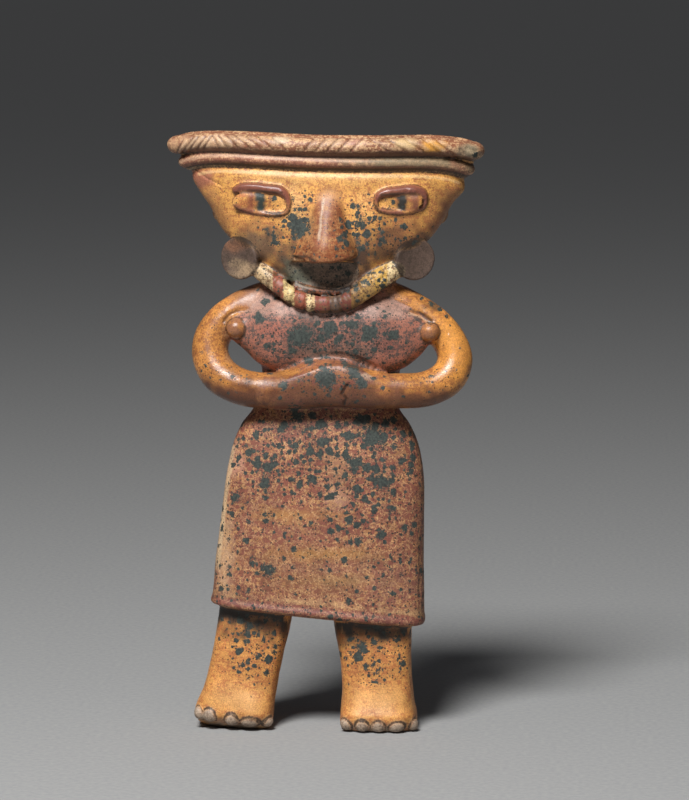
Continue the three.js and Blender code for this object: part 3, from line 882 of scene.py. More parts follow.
def front_cells(verts):
    """The front vertices of the figure by square."""
    cells = {}
    for v in verts:
        if v.normal.y < FACING_FRONT:
            x, z = seen(v.co)
            cells.setdefault((int(x // CELL), int(z // CELL)), []).append((x, z, v))
    for key, found in cells.items():
        front = min(v.co.y for _, _, v in found)
        cells[key] = [item for item in found if item[2].co.y < front + LAYER]
    return cells


def near(cells, points, reach):
    """The front vertices in the squares round some places."""
    columns, rows = zip(*points)
    for i in range(int((min(columns) - reach) // CELL), int((max(columns) + reach) // CELL) + 1):
        for k in range(int((min(rows) - reach) // CELL), int((max(rows) + reach) // CELL) + 1):
            yield from cells.get((i, k), ())


def to_line(x, z, points):
    """Distance from a place to the line through the points."""
    nearest = math.inf
    for (x0, z0), (x1, z1) in zip(points, points[1:]):
        across, up = x1 - x0, z1 - z0
        t = clamped(((x - x0) * across + (z - z0) * up) / (across * across + up * up))
        nearest = min(nearest, math.hypot(x - x0 - across * t, z - z0 - up * t))
    return nearest


# %% Marks: width, depth and the points of each line, where a negative depth is a raised one
MARKS = [
    # The upper edge of the hands, and the split between them
    (2.2, 0.9, [(-11.0, 101.8), (-5.8, 103.4), (-1.1, 105.4), (4.0, 105.8), (9.5, 104.6), (13.5, 102.4)]),
    (0.9, 0.7, [(6.2, 98.1), (4.7, 95.5), (5.7, 94.0), (5.4, 92.6)]),
    # Creases of the shoulders
    (1.0, 0.45, [(24.4, 119.6), (27.5, 118.4), (30.0, 116.4)]),
    (1.0, 0.35, [(-28.9, 116.3), (-27.4, 118.2), (-25.0, 119.3), (-22.0, 119.5)]),
    # A scratch on the temple, the fold of the right shoulder and the edge of the skirt
    (0.5, 0.25, [(-37.0, 159.6), (-34.0, 157.2), (-29.5, 154.8)]),
    (1.3, 0.4, [(26.9, 123.8), (30.4, 121.8), (33.3, 119.6)]),
    (0.8, 0.3, [(27.2, 52.0), (27.4, 45.0), (27.0, 38.0)]),
    # The right lid and the pads of both eyes, raised
    (1.4, -0.35, [(24.2, 153.4), (25.2, 153.4)]),
    (3.2, -0.55, [(-22.6, 151.4), (-13.0, 150.8)]),
    (3.0, -0.5, [(18.8, 151.2), (25.4, 151.0)]),
    # The corner of the nose
    (0.7, 0.4, [(-8.3, 134.0), (-6.2, 133.2)]),
    (0.6, -0.3, [(-8.6, 134.9), (-6.6, 134.3)]),
    # The broken end of the headband
    (1.1, 0.5, [(40.6, 166.0), (43.0, 165.2)]),
    (0.8, 0.45, [(42.6, 163.4), (44.0, 164.4)]),
    (0.7, 0.35, [(38.4, 165.4), (39.4, 164.2)]),
    # Chips of the right shoulder and of the necklace
    (0.9, 0.3, [(33.6, 119.2), (35.4, 117.6)]),
    (0.8, 0.3, [(11.4, 127.6), (12.8, 128.8)]),
    (0.7, 0.3, [(15.2, 127.4), (16.4, 129.0)]),
]

# %% The twist of the rope: where each cut crosses the lower and the upper edge of the headband
ROPE = [(-42.5, -40.6), (-40.6, -37.7), (-38.6, -36.1), (-36.4, -33.9), (-34.5, -32.3), (-30.2, -31.9),
        (-27.8, -30.2), (-24.9, -27.8), (-21.4, -25.2), (-18.2, -22.3), (-15.0, -18.8), (-11.2, -15.0),
        (-5.8, -3.2), (-2.6, 0.0), (0.6, 3.4), (3.8, 6.6), (7.2, 10.4), (17.6, 12.5), (22.7, 17.6),
        (27.8, 22.7), (32.3, 27.8), (36.1, 31.6)]
ROPE_CUT = (0.55, 0.27)
ROPE_LOW, ROPE_HIGH = -2.6, 1.1


def edge_of_band(x, at, up):
    """A place at x on the headband, raised from the height that its middle line has at another place."""
    return x, BAND["z"] + ring_lift(BAND, at) + up


def rope_cuts():
    for lower, upper in ROPE:
        yield [edge_of_band(lower, lower, ROPE_LOW), edge_of_band(upper, upper, ROPE_HIGH)]


print(len(ROPE), "cuts twist the rope")

# %% Where the coloured segments of the necklace meet, and how far each cut reaches across it
SEGMENTS = [-14.9, -11.9, -8.8, -5.4, -3.1, 1.2, 4.3, 7.3, 10.0, 14.1, 17.6]
SEGMENT_CUT = (1.1, 0.5)
SEGMENT_HALF = 2.2

# Y from which the necklace runs behind the neck
NECKLACE_BACK = -3


def necklace_cuts():
    path = [co.xyz for co in smooth_path(NECKLACE, True, GAP) if co.y < NECKLACE_BACK]
    for x in SEGMENTS:
        i = min(range(1, len(path) - 1), key=lambda n: abs(seen(path[n])[0] - x))
        here, before, after = (Vector(seen(path[n])) for n in (i, i - 1, i + 1))
        along = (after - before).normalized()
        across = Vector((-along.y, along.x)) * SEGMENT_HALF
        yield [tuple(here - across), tuple(here + across)]


def cut(verts, marks):
    """Moves the skin in or out along its normals, each mark fading smoothly to its width."""
    cells = front_cells(verts)
    moves = {}
    for width, depth, points in marks:
        for x, z, v in near(cells, points, width):
            share = max(0, 1 - to_line(x, z, points) / width)
            moves[v] = moves.get(v, 0) + depth * share * share * (3 - 2 * share)
    for v, depth in moves.items():
        v.co -= v.normal * depth


skin.normal_update()
cut(skin.verts, [*MARKS, *((*ROPE_CUT, line) for line in rope_cuts()),
                 *((*SEGMENT_CUT, line) for line in necklace_cuts())])
print(len(MARKS) + len(ROPE) + len(SEGMENTS), "marks cut")

# %% [markdown]
# ## The unevenness of hand work
#
# A hand-modelled wall is never even: it has soft dents of a fingertip's size. Noise of that size moves
# the skin inwards by a fraction of a millimetre. The soles stay flat, because the figure stands on them.

# %% Dents: their sizes and depths
DENT_SIZES = [(11, 0.22), (4, 0.09)]
FLAT_SOLE = 1.2


def dent(bm):
    bm.normal_update()
    moves = []
    for v in bm.verts:
        depth = 0
        for size, most in DENT_SIZES:
            depth += most * (0.5 + 0.5 * noise.noise(v.co / size))
        moves.append(v.normal * (depth * clamped(v.co.z / FLAT_SOLE)))
    for v, move in zip(bm.verts, moves):
        v.co -= move
    print("deepest dent, mm:", round(max(move.length for move in moves), 2))


dent(skin)

# %% Fewer triangles, where the skin is smooth
TRIANGLES = 190000
skin.to_mesh(clay)
skin.free()
clay = with_modifier(clay, "DECIMATE", ratio=min(1, TRIANGLES / (2 * len(clay.polygons))),
                     use_collapse_triangulate=True)
print("figurine:", len(clay.polygons), "triangles")

# %% [markdown]
# ## Coats of slip
#
# Slip is clay thinned to cream and coloured with iron or with white clay. It was brushed on part by
# part and rubbed with a pebble, and centuries in the ground wore it through and left dark spots of
# manganese. The colours could be an image, but a part that is seen from all sides is better painted
# point by point: each vertex learns from the nearest clay form which slip covers it.

# %% Colours of the slips, as sRGB hex values
CREAM = "#e2b887"
ORANGE = "#ad6b3c"
PINK = "#b5876f"
MAROON = "#734437"
BROWN = "#60432f"
SOOT = "#33291f"


def hex_colour(text, alpha=1):
    parts = [int(text[i:i + 2], 16) / 255 for i in (1, 3, 5)]
    return (*[p / 12.92 if p <= 0.04045 else ((p + 0.055) / 1.055) ** 2.4 for p in parts], alpha)


print("maroon slip in linear light:", [round(part, 3) for part in hex_colour(MAROON)])

# %% The coat of each form: slip, what shows where it is worn, share worn, spots and shine
COATS = dict(
    skirt=("#7b4738", "#a07148", 0.28, 0.7, 0.3),
    chest=("#99614e", "#54453f", 0.4, 0.56, 0.42),
    nubs=("#8a5c41", "#a8703e", 0.3, 0.3, 0.85),
    arms=("#b67b40", "#8f5932", 0.36, 0.42, 0.95),
    hands=("#7b5237", MAROON, 0.4, 0.55, 0.8),
    legs=("#c98d4c", ORANGE, 0.4, 0.5, 0.45),
    toes=("#a08c79", "#7c6858", 0.3, 0.1, 0.45),
    head=("#d1974e", "#a5683b", 0.32, 0.36, 0.5),
    band=("#84533a", "#bd956e", 0.34, 0.15, 0.42),
    coil=("#875541", "#bb8e69", 0.35, 0.15, 0.42),
    thread=("#7d6247", SOOT, 0.4, 0.1, 0.45),
    nose=("#814a2d", "#a06f44", 0.3, 0.55, 0.5),
    lids=("#7d4a3a", MAROON, 0.3, 0.1, 0.85),
    pads=("#c38d4a", ORANGE, 0.4, 0.5, 0.45),
    pupils=("#c38d4a", ORANGE, 0.4, 0.4, 0.45),
    lip=("#8a5138", SOOT, 0.4, 0.3, 0.6),
    ears=(BROWN, SOOT, 0.4, 0.2, 0.42),
    discs=("#56443a", "#46372d", 0.3, 0.2, 0.42),
    necklace=(CREAM, "#6f5136", 0.24, 0.6, 0.42),
    mouth=("#7d6755", "#5a4d41", 0.4, 0.7, 0.42),
)

# Forms whose joint was smeared over, so that no dirt gathers in it
SMEARED = {("arms", "hands"), ("arms", "chest"), ("hands", "chest"), ("head", "ears"), ("head", "nose"),
           ("head", "mouth"), ("mouth", "lip"), ("nose", "mouth"), ("pads", "head"), ("pads", "lids"),
           ("pupils", "pads"), ("pupils", "head"), ("pupils", "lids"), ("skirt", "chest")}

print(len(COATS), "coats")

# %% Patches of another slip, and the noted patches of painted shade and painted light: form, X, Z, half sizes across and up, colour and strength
PATCHES = [
    ("head", 0, 157, 34, 3.0, "#d9a765", 0.5),
    ("head", -36, 157, 6.5, 4.5, "#9a5f4c", 0.9),
    ("head", -34, 150, 5, 6, "#8a5c40", 0.7),
    ("head", -31, 145, 6, 7, "#9c6c40", 0.7),
    # Painted shade: the right side of the head is darkened where it turns away from the light
    ("head", 36, 151, 4.5, 6, "#80543a", 0.8),
    ("head", 33, 145, 5, 7, "#80543a", 0.8),
    ("head", -9, 149, 5, 8, "#dcb077", 0.5),
    ("head", 11, 149, 4, 6, "#d4a468", 0.4),
    # Painted shade with brown slip: the cheeks and jaw grow darker toward the chin, where the lower face
    # turns down from the light
    ("head", -22, 144, 12, 3, "#a8703f", 0.5),
    ("head", 22, 144, 12, 3, "#9c683c", 0.5),
    ("head", -20, 138, 15, 7, "#66513f", 0.9),
    ("head", 21, 139, 15, 7.5, "#6a452f", 0.9),
    ("head", 0, 130, 30, 14, "#573d2c", 1),
    ("head", -10, 131, 3.4, 4.5, "#4b4f40", 0.8),
    ("head", -18, 150.6, 10, 3.6, "#cc9450", 0.9),
    ("head", 21.5, 150.4, 7.5, 3.2, "#cc9450", 0.9),
    ("mouth", -8, 129.5, 5, 4.4, "#525c4d", 0.75),
    ("lip", 7, 125, 6, 3, SOOT, 0.9),
    ("nose", -5, 145, 2.4, 8, "#bf9360", 0.5),
    ("nose", 7.5, 142, 2.0, 7, "#a97b48", 0.5),
    ("nose", 1, 152, 4, 3, "#b98a5c", 0.4),
    ("nose", 1, 136, 6, 3, "#8c4d2b", 0.6),
    ("pads", 16.8, 150.6, 3.2, 2.8, "#ecd090", 1),
    ("skirt", -2, 45, 28, 12, "#84593a", 0.5),
    ("skirt", -6, 56, 16, 3.5, "#8a5243", 0.5),
    ("skirt", -10, 61, 16, 2, "#b08048", 0.6),
    ("skirt", 0, 50, 20, 2, "#a87a40", 0.6),
    ("skirt", -8, 53, 14, 1.5, "#7b4536", 0.6),
    ("skirt", 4, 42, 16, 1.5, "#9c7a4c", 0.5),
    ("skirt", -2, 46, 20, 2, "#83564a", 0.4),
    ("skirt", -29, 50, 3, 20, "#cdab84", 0.5),
    ("skirt", -27, 77, 4, 8, PINK, 0.6),
    ("skirt", 3, 66, 5, 4, "#c99c80", 0.5),
    ("skirt", 4, 76, 4, 8, "#bf8f68", 0.4),
    ("skirt", 20, 42, 12, 8, "#83564a", 0.5),
    ("skirt", 25, 60, 5, 18, "#7a4a3c", 0.5),
    ("chest", -6, 111.5, 7, 8, "#463d38", 0.6),
    ("chest", 11, 113, 9, 5, "#523f39", 0.5),
    ("chest", 2, 107.5, 16, 3, "#6b5244", 0.7),
    ("chest", -14, 114, 5, 4, "#8c4a3c", 0.4),
    ("chest", 18, 110, 5, 4, "#7d4c40", 0.7),
    ("chest", -17, 121, 12, 5, "#a27f6f", 0.8),
    ("chest", 18, 121, 12, 5, "#a27f6f", 0.8),
    ("chest", 0, 118.5, 12, 2.5, "#8d6f62", 0.7),
    ("arms", -20, 123.5, 9, 5, "#8f6650", 0.9),
    # Painted shade: the lower half of the left forearm is darkened on its underside
    ("arms", -24, 94.5, 26, 6.5, "#5f3925", 1),
    ("arms", 37, 109, 9, 16, "#cb8a40", 0.8),
    ("arms", -24, 103, 12, 3, "#a06a38", 0.6),
    # Painted shade: the lower half of the right forearm is darkened on its underside
    ("arms", 26, 93.5, 24, 5, "#6b412a", 0.95),
    ("arms", -27, 110, 3, 8, "#97765c", 0.6),
    ("arms", 31.4, 121.0, 3.6, 1.6, "#5a4433", 0.8),
    # Painted shade: the lower part of the hands is darkened, as under the forearms
    ("hands", 0, 95, 38, 4.5, "#643f2b", 0.85),
    ("hands", 0, 103, 12, 3.5, ORANGE, 0.5),
    ("hands", 12, 101, 3, 2.4, "#b39a84", 0.6),
    ("coil", 24, 162, 26, 5, "#7c6f55", 0.85),
    # Painted shade: the lower edge of the headband's right half is darkened above the gap over the coil
    ("band", 20, 163.4, 30, 1.6, "#4c3a30", 0.7),
    ("band", -34, 167, 14, 3, "#d0ab88", 0.5),
    ("band", -12.5, 167.4, 4, 1.4, "#d6bd9e", 0.8),
    ("band", 2, 167.2, 4.5, 1.4, "#c7a17c", 0.6),
    ("band", 8, 166.6, 3.5, 1.8, "#a77b69", 0.6),
    ("band", 22.5, 166.8, 5, 2.4, "#cfae7c", 0.9),
    ("band", 30, 166.0, 5, 2.6, "#c48a3a", 1),
    ("band", 41, 164.5, 5, 3.4, "#9f9176", 0.85),
    ("thread", -34, 158.5, 8, 3.5, "#b39a70", 0.7),
    # Painted shadow of the hem, with dark deposit: dark bands at the tops of the legs
    ("legs", -20, 33.6, 50, 9.5, "#30261e", 1),
    ("legs", 14, 31.4, 50, 9.5, "#33281f", 1),
    ("legs", -25, 7, 14, 6, "#d39a58", 0.9),
    ("legs", 15, 7, 14, 6, "#d39a58", 0.9),
    ("legs", -25, -0.9, 17, 3.0, "#8f7a67", 1),
    ("legs", 15.5, -1.2, 15, 2.2, "#9c8672", 1),
    # Painted light with pale spots: the lower part of the left disc's dish, which faces up to the light, is
    # made paler
    ("discs", -23, 131.0, 6, 3.6, "#b09472", 0.6),
    ("discs", -26, 138.0, 5, 2.6, "#8f5f42", 0.6),
]

print(len(PATCHES), "patches")

# %% Strokes of another slip, and the noted strokes of painted shade and painted highlight: the forms or any, width, colour, strength and the points of the line
STROKES = [
    ("pads pupils head", 1.9, "#2c332f", 1, [(-18.3, 152.4), (-18.3, 148.6)]),
    ("pads pupils head", 1.1, "#80452f", 0.9, [(-21.0, 152.8), (-21.1, 148.4)]),
    ("pads pupils head", 0.7, "#80452f", 0.7, [(-15.6, 152.4), (-15.6, 148.8)]),
    ("any", 0.9, "#7c4939", 0.85, [(-25.4, 148.9), (-23.6, 147.7), (-21.0, 147.0)]),
    # Painted shadow: a dark line under the left upper lid, where the lid overhangs the pad
    ("any", 0.5, "#45301f", 0.7, [(-24.0, 152.7), (-20.0, 153.1), (-12.2, 152.6)]),
    ("pads pupils head", 1.9, "#2f2c28", 1, [(21.6, 152.0), (21.6, 148.9)]),
    ("pads pupils head", 1.8, "#7a4835", 0.9, [(25.0, 152.2), (25.0, 149.4)]),
    # Painted shadow: a dark line under the right upper lid, where the lid overhangs the pad
    ("any", 0.5, "#45301f", 0.7, [(15.8, 152.2), (20.0, 152.4), (26.6, 152.4)]),
    ("nose", 0.42, "#c9b19a", 0.6, [(-0.4, 151.0), (-1.2, 145.5), (-1.8, 139.5)]),
    ("any", 0.5, "#c99a70", 0.9, [(-8.6, 134.0), (-6.6, 133.3)]),
    ("any", 0.45, SOOT, 0.9, [(-9.2, 134.9), (-5.2, 134.3), (-3.0, 133.2)]),
    ("skirt", 0.7, "#c9a272", 0.45, [(-31.5, 38.2), (0.0, 35.4), (27.5, 32.6)]),
    ("skirt", 1.5, "#7a463a", 0.95, [(-31.0, 36.0), (0.0, 33.0), (27.5, 30.2)]),
    # Painted highlight: a pale line on the lip of the right shoulder's crease; the two dark lines below it
    # lie in the shoulder creases
    ("any", 0.4, "#c9a283", 0.6, [(23.8, 118.9), (27.2, 117.8), (29.6, 116.0)]),
    ("any", 0.5, "#3a2a20", 0.7, [(24.4, 119.9), (27.5, 118.8), (30.4, 116.9)]),
    ("any", 0.5, "#4a3020", 0.6, [(-28.9, 116.6), (-27.6, 118.4), (-25.0, 119.3)]),
    ("skirt", 0.9, "#d9bd94", 0.5, [(-26.5, 80.0), (-29.0, 64.0), (-31.0, 46.0)]),
]

print(len(STROKES), "strokes that do not follow a ring")

# %% More or fewer spots: form, X, Z, half sizes across and up, and how many more
SPOTTED = [
    ("skirt", 8, 78, 24, 16, 0.4),
    ("skirt", -12, 80, 18, 12, 0.3),
    ("skirt", 14, 60, 16, 10, 0.15),
    ("skirt", -6, 46, 28, 14, -0.08),
    ("head", 0, 157, 40, 5, -0.45),
    ("head", 0, 147, 30, 9, 0.12),
    ("head", -8, 144, 12, 14, 0.5),
    ("head", 12, 143, 14, 14, 0.5),
    ("head", -24, 138, 12, 5, 0.3),
    ("head", 25, 139, 12, 5, 0.4),
    ("nose", 5, 141, 5, 8, 0.4),
    ("chest", 2, 111, 24, 9, 0.6),
    ("chest", 0, 123, 24, 4, -0.1),
    ("arms", -28, 101, 10, 6, 0.3),
    ("arms", 32, 101, 10, 6, 0.3),
    ("hands", 2, 100, 14, 8, 0.3),
    ("legs", -21, 24, 12, 14, 0.45),
    ("legs", 14, 23, 12, 13, 0.5),
    ("legs", -25, 4, 16, 8, -0.6),
    ("legs", 15, 4, 16, 8, -0.6),
    ("necklace", 12, 127, 8, 5, 0.4),
    ("pads", 18, 151, 6, 4, 0.3),
    ("pads", -14, 150, 4, 4, 0.3),
]

print(len(SPOTTED), "places with more or fewer spots")

# %% Dark blotches of manganese: X, Z and radius
BLOTCHES = [
    (13.4, 83.2, 3.0), (8.3, 76.0, 2.2), (16.1, 70.7, 2.3), (-17.3, 69.9, 1.7), (-19.6, 74.3, 1.2),
    (-16.0, 74.3, 1.1), (-14.5, 77.3, 1.3), (-8.6, 76.0, 1.0), (-9.0, 80.7, 1.3), (0.3, 82.8, 1.5),
    (24.0, 73.5, 1.2), (19.3, 62.5, 1.6), (15.7, 55.3, 1.5), (-16.2, 45.1, 2.0), (-20.9, 47.7, 1.1),
    (5.4, 48.5, 1.3), (1.1, 45.1, 0.9), (-10.3, 43.0, 0.9), (-8.2, 38.2, 0.7), (-25.9, 65.8, 1.4),
    (-23.0, 53.6, 1.0), (-1.0, 87.2, 1.3), (-8.6, 90.0, 2.5), (10.4, 88.7, 2.0), (7.2, 83.6, 1.3),
    (-5.6, 85.3, 1.2), (-12.8, 85.3, 1.3), (-0.1, 60.8, 0.9), (8.3, 64.2, 0.9), (-3.1, 70.9, 1.1),
    (-8.2, 70.1, 1.0), (15.1, 76.8, 1.2), (7.0, 53.2, 1.0), (18.5, 48.9, 0.8), (-7.5, 143.0, 3.0),
    (-14.1, 138.8, 1.2), (9.7, 144.2, 1.6), (7.6, 149.0, 0.9), (10.3, 137.0, 1.0), (9.2, 140.6, 1.1),
    (-7.0, 111.8, 3.6), (1.5, 114.4, 2.2), (7.8, 115.4, 1.6), (13.1, 112.8, 2.0), (19.3, 112.5, 1.9),
    (-17.1, 121.8, 1.2), (-18.7, 117.0, 1.5), (0.4, 100.1, 3.0), (7.8, 102.2, 1.8), (-11.8, 97.9, 1.4),
    (10.0, 99.0, 1.8), (-14.6, 21.0, 0.8), (-19.6, 15.8, 0.8), (-22.3, 18.0, 0.7), (-25.8, 24.6, 0.8),
    (-17.7, 24.6, 0.7), (10.3, 22.8, 1.7), (5.9, 19.5, 0.8), (9.0, 19.9, 0.8), (15.2, 16.2, 1.2),
    (14.3, 12.9, 1.1), (20.9, 20.4, 1.1), (11.6, 17.3, 1.2), (7.2, 25.0, 1.1), (20.7, 25.2, 1.0),
    (11.4, 27.6, 1.0), (-4.6, 105.2, 1.2), (5.4, 104.2, 1.0), (42.6, 164.2, 0.9), (27.4, 123.3, 0.6),
    (30.2, 121.7, 0.8), (32.6, 120.3, 0.7), (34.6, 118.2, 0.6), (-26.4, 100.6, 0.7), (-15.8, 101.8, 0.9),
    (-13.0, 94.4, 0.7), (16.2, 97.6, 0.7), (22.0, 95.0, 0.6), (-34.2, 103.6, 0.5), (-35.4, 107.4, 0.5),
]

print(len(BLOTCHES), "blotches")

# %% Slips of the necklace from left to right, one for each segment
BEADS = ["#c4a67c", "#8f4f3c", "#c9ae78", "#8c4a35", "#ceb184", "#7a3f33", "#5c463a", "#733c30", "#8f6a3a",
         "#ac864c", "#b58d45", "#c9b083"]
BEAD_COLOURS = [hex_colour(text) for text in BEADS]
DEGREES_PER_BEAD = 12


def bead_slip(co):
    """The slip of the segment that a place is on. Behind the neck the segments are even."""
    if co.y > NECKLACE_BACK:
        turn = math.degrees(math.atan2(co.x, co.y)) / DEGREES_PER_BEAD
        return BEAD_COLOURS[int(turn) % len(BEADS)]
    across = seen(co)[0]
    return BEAD_COLOURS[sum(across > edge for edge in SEGMENTS)]


print(len(BEADS), "necklace segments")

# %% Strokes along the rings of the headband: pale ridges and dark cuts of the rope, painted shade in the creases under the band and the coil, and a painted highlight on the face's upper edge
RING_END = 44
RING_STEPS = 22

# The sides of a ring bend back, so the camera sees them this much higher
RING_RISE = 0.6

# The twist is clear up to this place on the left, and faint from there on
CLEAR_TWIST = -26
CLEAR, FAINT = 0.65, 0.35

# A ridge lies this far beside each cut, and starts this far above its foot
RIDGE_BESIDE = 1.1
RIDGE_ABOVE = 0.8
RIDGE_PALE = 0.8


def ring_line(ring, up, start=-RING_END, end=RING_END):
    """A line along the front of a ring, as the camera sees it, at a height above its middle."""
    places = [start + (end - start) * i / RING_STEPS for i in range(RING_STEPS + 1)]
    return [(x, ring["z"] + ring_lift(ring, x) + up + RING_RISE * (x / RING_END) ** 2) for x in places]


def ring_strokes():
    for lower, upper in ROPE:
        strength = CLEAR if lower < CLEAR_TWIST else FAINT
        ridge = [edge_of_band(lower + RIDGE_BESIDE, lower, ROPE_LOW + RIDGE_ABOVE),
                 edge_of_band(upper + RIDGE_BESIDE, lower, ROPE_HIGH)]
        valley = [edge_of_band(lower, lower, ROPE_LOW), edge_of_band(upper, lower, ROPE_HIGH)]
        yield "band", 0.6, "#c9aa8a", strength * RIDGE_PALE, ridge
        yield "band", 0.35, "#4f3226", strength, valley
    # Painted shade: a dark line in the crease under the band
    yield "band", 1.2, "#5b392c", 0.75, ring_line(BAND, -3.5)
    yield "coil", 0.7, "#c9a384", 0.5, ring_line(COIL, -0.3, end=10)
    # Painted shade: a dark line in the crease under the coil
    yield "coil", 0.9, "#643a2e", 0.7, ring_line(COIL, -2.4)
    # Painted highlight: a cream line along the lit upper edge of the face, below the thread
    yield "head", 0.55, "#e0bf88", 0.4, ring_line(THREAD, -2.9, -36, 38)


print(len(STROKES) + len(list(ring_strokes())), "strokes")

# %% [markdown]
# ## Painting point by point
#
# A vertex of the skin remembers nothing of the lump that it came from. A search tree of each form says
# which forms are near a vertex and how far away they are. The nearest gives it the slip, and where two
# are about as near, their slips are mixed, as a brush does at a joint. Then the patches, strokes, spots
# and blotches go over that, on the front only. The values are kept as attributes, which the material
# reads and which need no unwrapping.

# %% Which forms lie near a place, and how far away each is: in slabs of this height, up to this reach
SLAB = 6
REACH = 1.5


def form_finder():
    slabs = {}
    for name, bms in FORMS.items():
        for bm in bms:
            box = [(min(v.co[i] for v in bm.verts) - REACH, max(v.co[i] for v in bm.verts) + REACH)
                   for i in range(3)]
            found = (name, box, BVHTree.FromBMesh(bm))
            for slab in range(int(box[2][0] // SLAB), int(box[2][1] // SLAB) + 1):
                slabs.setdefault(slab, []).append(found)

    def distances(co):
        near_by = {}
        for name, ((x0, x1), (y0, y1), (z0, z1)), tree in slabs.get(int(co.z // SLAB), ()):
            if x0 < co.x < x1 and y0 < co.y < y1 and z0 < co.z < z1:
                distance = tree.find_nearest(co)[3]
                near_by[name] = min(distance, near_by.get(name, math.inf))
        return sorted((distance, name) for name, distance in near_by.items())

    return distances


distances = form_finder()
print("near the mouth:", [name for _, name in distances(Vector((0, MOUTH_FRONT, MOUTH["z"])))])

# %% The coats at a place: mixed across a soft edge, worn on ridges, darkened in creases with painted shade and at joints with dirt
SOFT_EDGE = 0.5

# The bend of the skin at which a crease is fully darkened with painted shade, and the one from which a
# ridge is rubbed bare
CREASE = 0.14
RIDGE = 0.03

# How quickly a ridge is rubbed, and how much wear that can add
RUB = 3
MOST_RUB = 0.3

# Skin of the mouth that is further than this from any form was pressed in
MOUTH_SKIN = 0.15

# How far the dirt of a seam reaches, in general and at small forms
SEAM = 0.7
SEAMS = dict(toes=0.28, lids=0.42)
COAT_COLOURS = {name: (hex_colour(coat[0]), hex_colour(coat[1]), *coat[2:]) for name, coat in COATS.items()}


def forms_at(co):
    found = distances(co) or [(0, "head")]
    return [(0, "mouth")] if in_mouth(co) > 0 and found[0][0] > MOUTH_SKIN else found


def coat_at(co, found):
    """Slip, colour under it, wear, spots and shine, each form counting by how near it is."""
    shares = [(max(0, 1 - (distance - found[0][0]) / SOFT_EDGE) ** 2, name) for distance, name in found]
    total = sum(share for share, _ in shares)
    mixed = [[0] * 4, [0] * 4, 0, 0, 0]
    for share, name in shares:
        if share:
            part = share / total
            coat = COAT_COLOURS[name]
            top = bead_slip(co) if name == "necklace" else coat[0]
            for i, colour in enumerate((top, coat[1])):
                mixed[i] = [a + b * part for a, b in zip(mixed[i], colour)]
            for i in (2, 3, 4):
                mixed[i] += coat[i] * part
    return mixed


def bend_at(v):
    """How far the skin rises round a vertex, or falls away from it where it is less than 0."""
    return sum((edge.other_vert(v).co - v.co).dot(v.normal) for edge in v.link_edges) / len(v.link_edges)


# Painted shade and dirt: creases are darkened by their bend as painted shade, and joints between forms that
# were not smeared get dark dirt
def crease_shade_and_dirt_at(bend, found):
    groove = clamped(bend / CREASE)
    if len(found) > 1:
        pair = (found[0][1], found[1][1])
        if pair not in SMEARED and pair[::-1] not in SMEARED:
            seam = min(SEAMS.get(name, SEAM) for name in pair)
            groove = max(groove, 1 - (found[1][0] - found[0][0]) / seam)
    return groove


def first_coats(verts):
    """The painted values of all vertices from the forms that they lie on, and each one's own form."""
    painted = {name: [] for name in ("slip", "under", "worn", "spots", "shine", "crease_shade_and_dirt", "form")}
    for v in verts:
        found = forms_at(v.co)
        bend = bend_at(v)
        slip, under, worn, spots, shine = coat_at(v.co, found)
        rubbed = worn + min(MOST_RUB, max(0, -bend - RIDGE) * RUB)
        values = (slip, under, rubbed, spots, shine, crease_shade_and_dirt_at(bend, found), found[0][1])
        for name, value in zip(painted, values):
            painted[name].append(value)
    return painted


# %% The painted places: patches, strokes, spots and blotches
# A ragged edge has an amount, a size in millimetres and a seed of its own
PATCH_RAGGED = (0.5, 2.5, 3)
STROKE_RAGGED = (0.4, 1.1, 7)

# How steeply a patch and a stroke end, and how many widths or radii from their line or middle to look
PATCH_EDGE = 1.6
STROKE_EDGE = 2
STROKE_REACH = 1.5
BLOTCH_REACH = 2
NO_BLOTCH = -1.0


def ragged(x, z, amount, size, seed):
    return amount * noise.noise(Vector((x, z, seed)) / size)


def in_oval(cells, forms, form, x0, z0, across, up):
    """The vertices of a form in an oval: place, number, and how far out, which is 1 at the rim."""
    for x, z, v in near(cells, [(x0 - across, z0 - up), (x0 + across, z0 + up)], 0):
        if forms[v.index] == form:
            yield x, z, v.index, math.hypot((x - x0) / across, (z - z0) / up)


def tint(painted, i, colour, share, share_under):
    for name, part in (("slip", share), ("under", share_under)):
        painted[name][i] = [a + (b - a) * part for a, b in zip(painted[name][i], colour)]


def paint_places(painted, cells):
    forms = painted["form"]
    for *oval, colour, strength in PATCHES:
        colour = hex_colour(colour)
        for x, z, i, far in in_oval(cells, forms, *oval):
            share = strength * clamped((1 - far + ragged(x, z, *PATCH_RAGGED)) * PATCH_EDGE)
            tint(painted, i, colour, share, share * share)
    for form, width, colour, strength, points in [*STROKES, *ring_strokes()]:
        colour = hex_colour(colour)
        for x, z, v in near(cells, points, STROKE_REACH * width):
            if form == "any" or forms[v.index] in form.split():
                far = to_line(x, z, points) / width
                share = strength * clamped((1 - far + ragged(x, z, *STROKE_RAGGED)) * STROKE_EDGE)
                tint(painted, v.index, colour, share, share)
    for *oval, more in SPOTTED:
        for x, z, i, far in in_oval(cells, forms, *oval):
            painted["spots"][i] += more * max(0, 1 - far ** 2)


def blotches(cells, count):
    """How deep each vertex lies in a blotch: 1 in the middle, 0 at the rim, less than 0 outside."""
    blotch = [NO_BLOTCH] * count
    for x0, z0, radius in BLOTCHES:
        for x, z, v in near(cells, [(x0, z0)], BLOTCH_REACH * radius):
            blotch[v.index] = max(blotch[v.index], 1 - math.hypot(x - x0, z - z0) / radius)
    return blotch


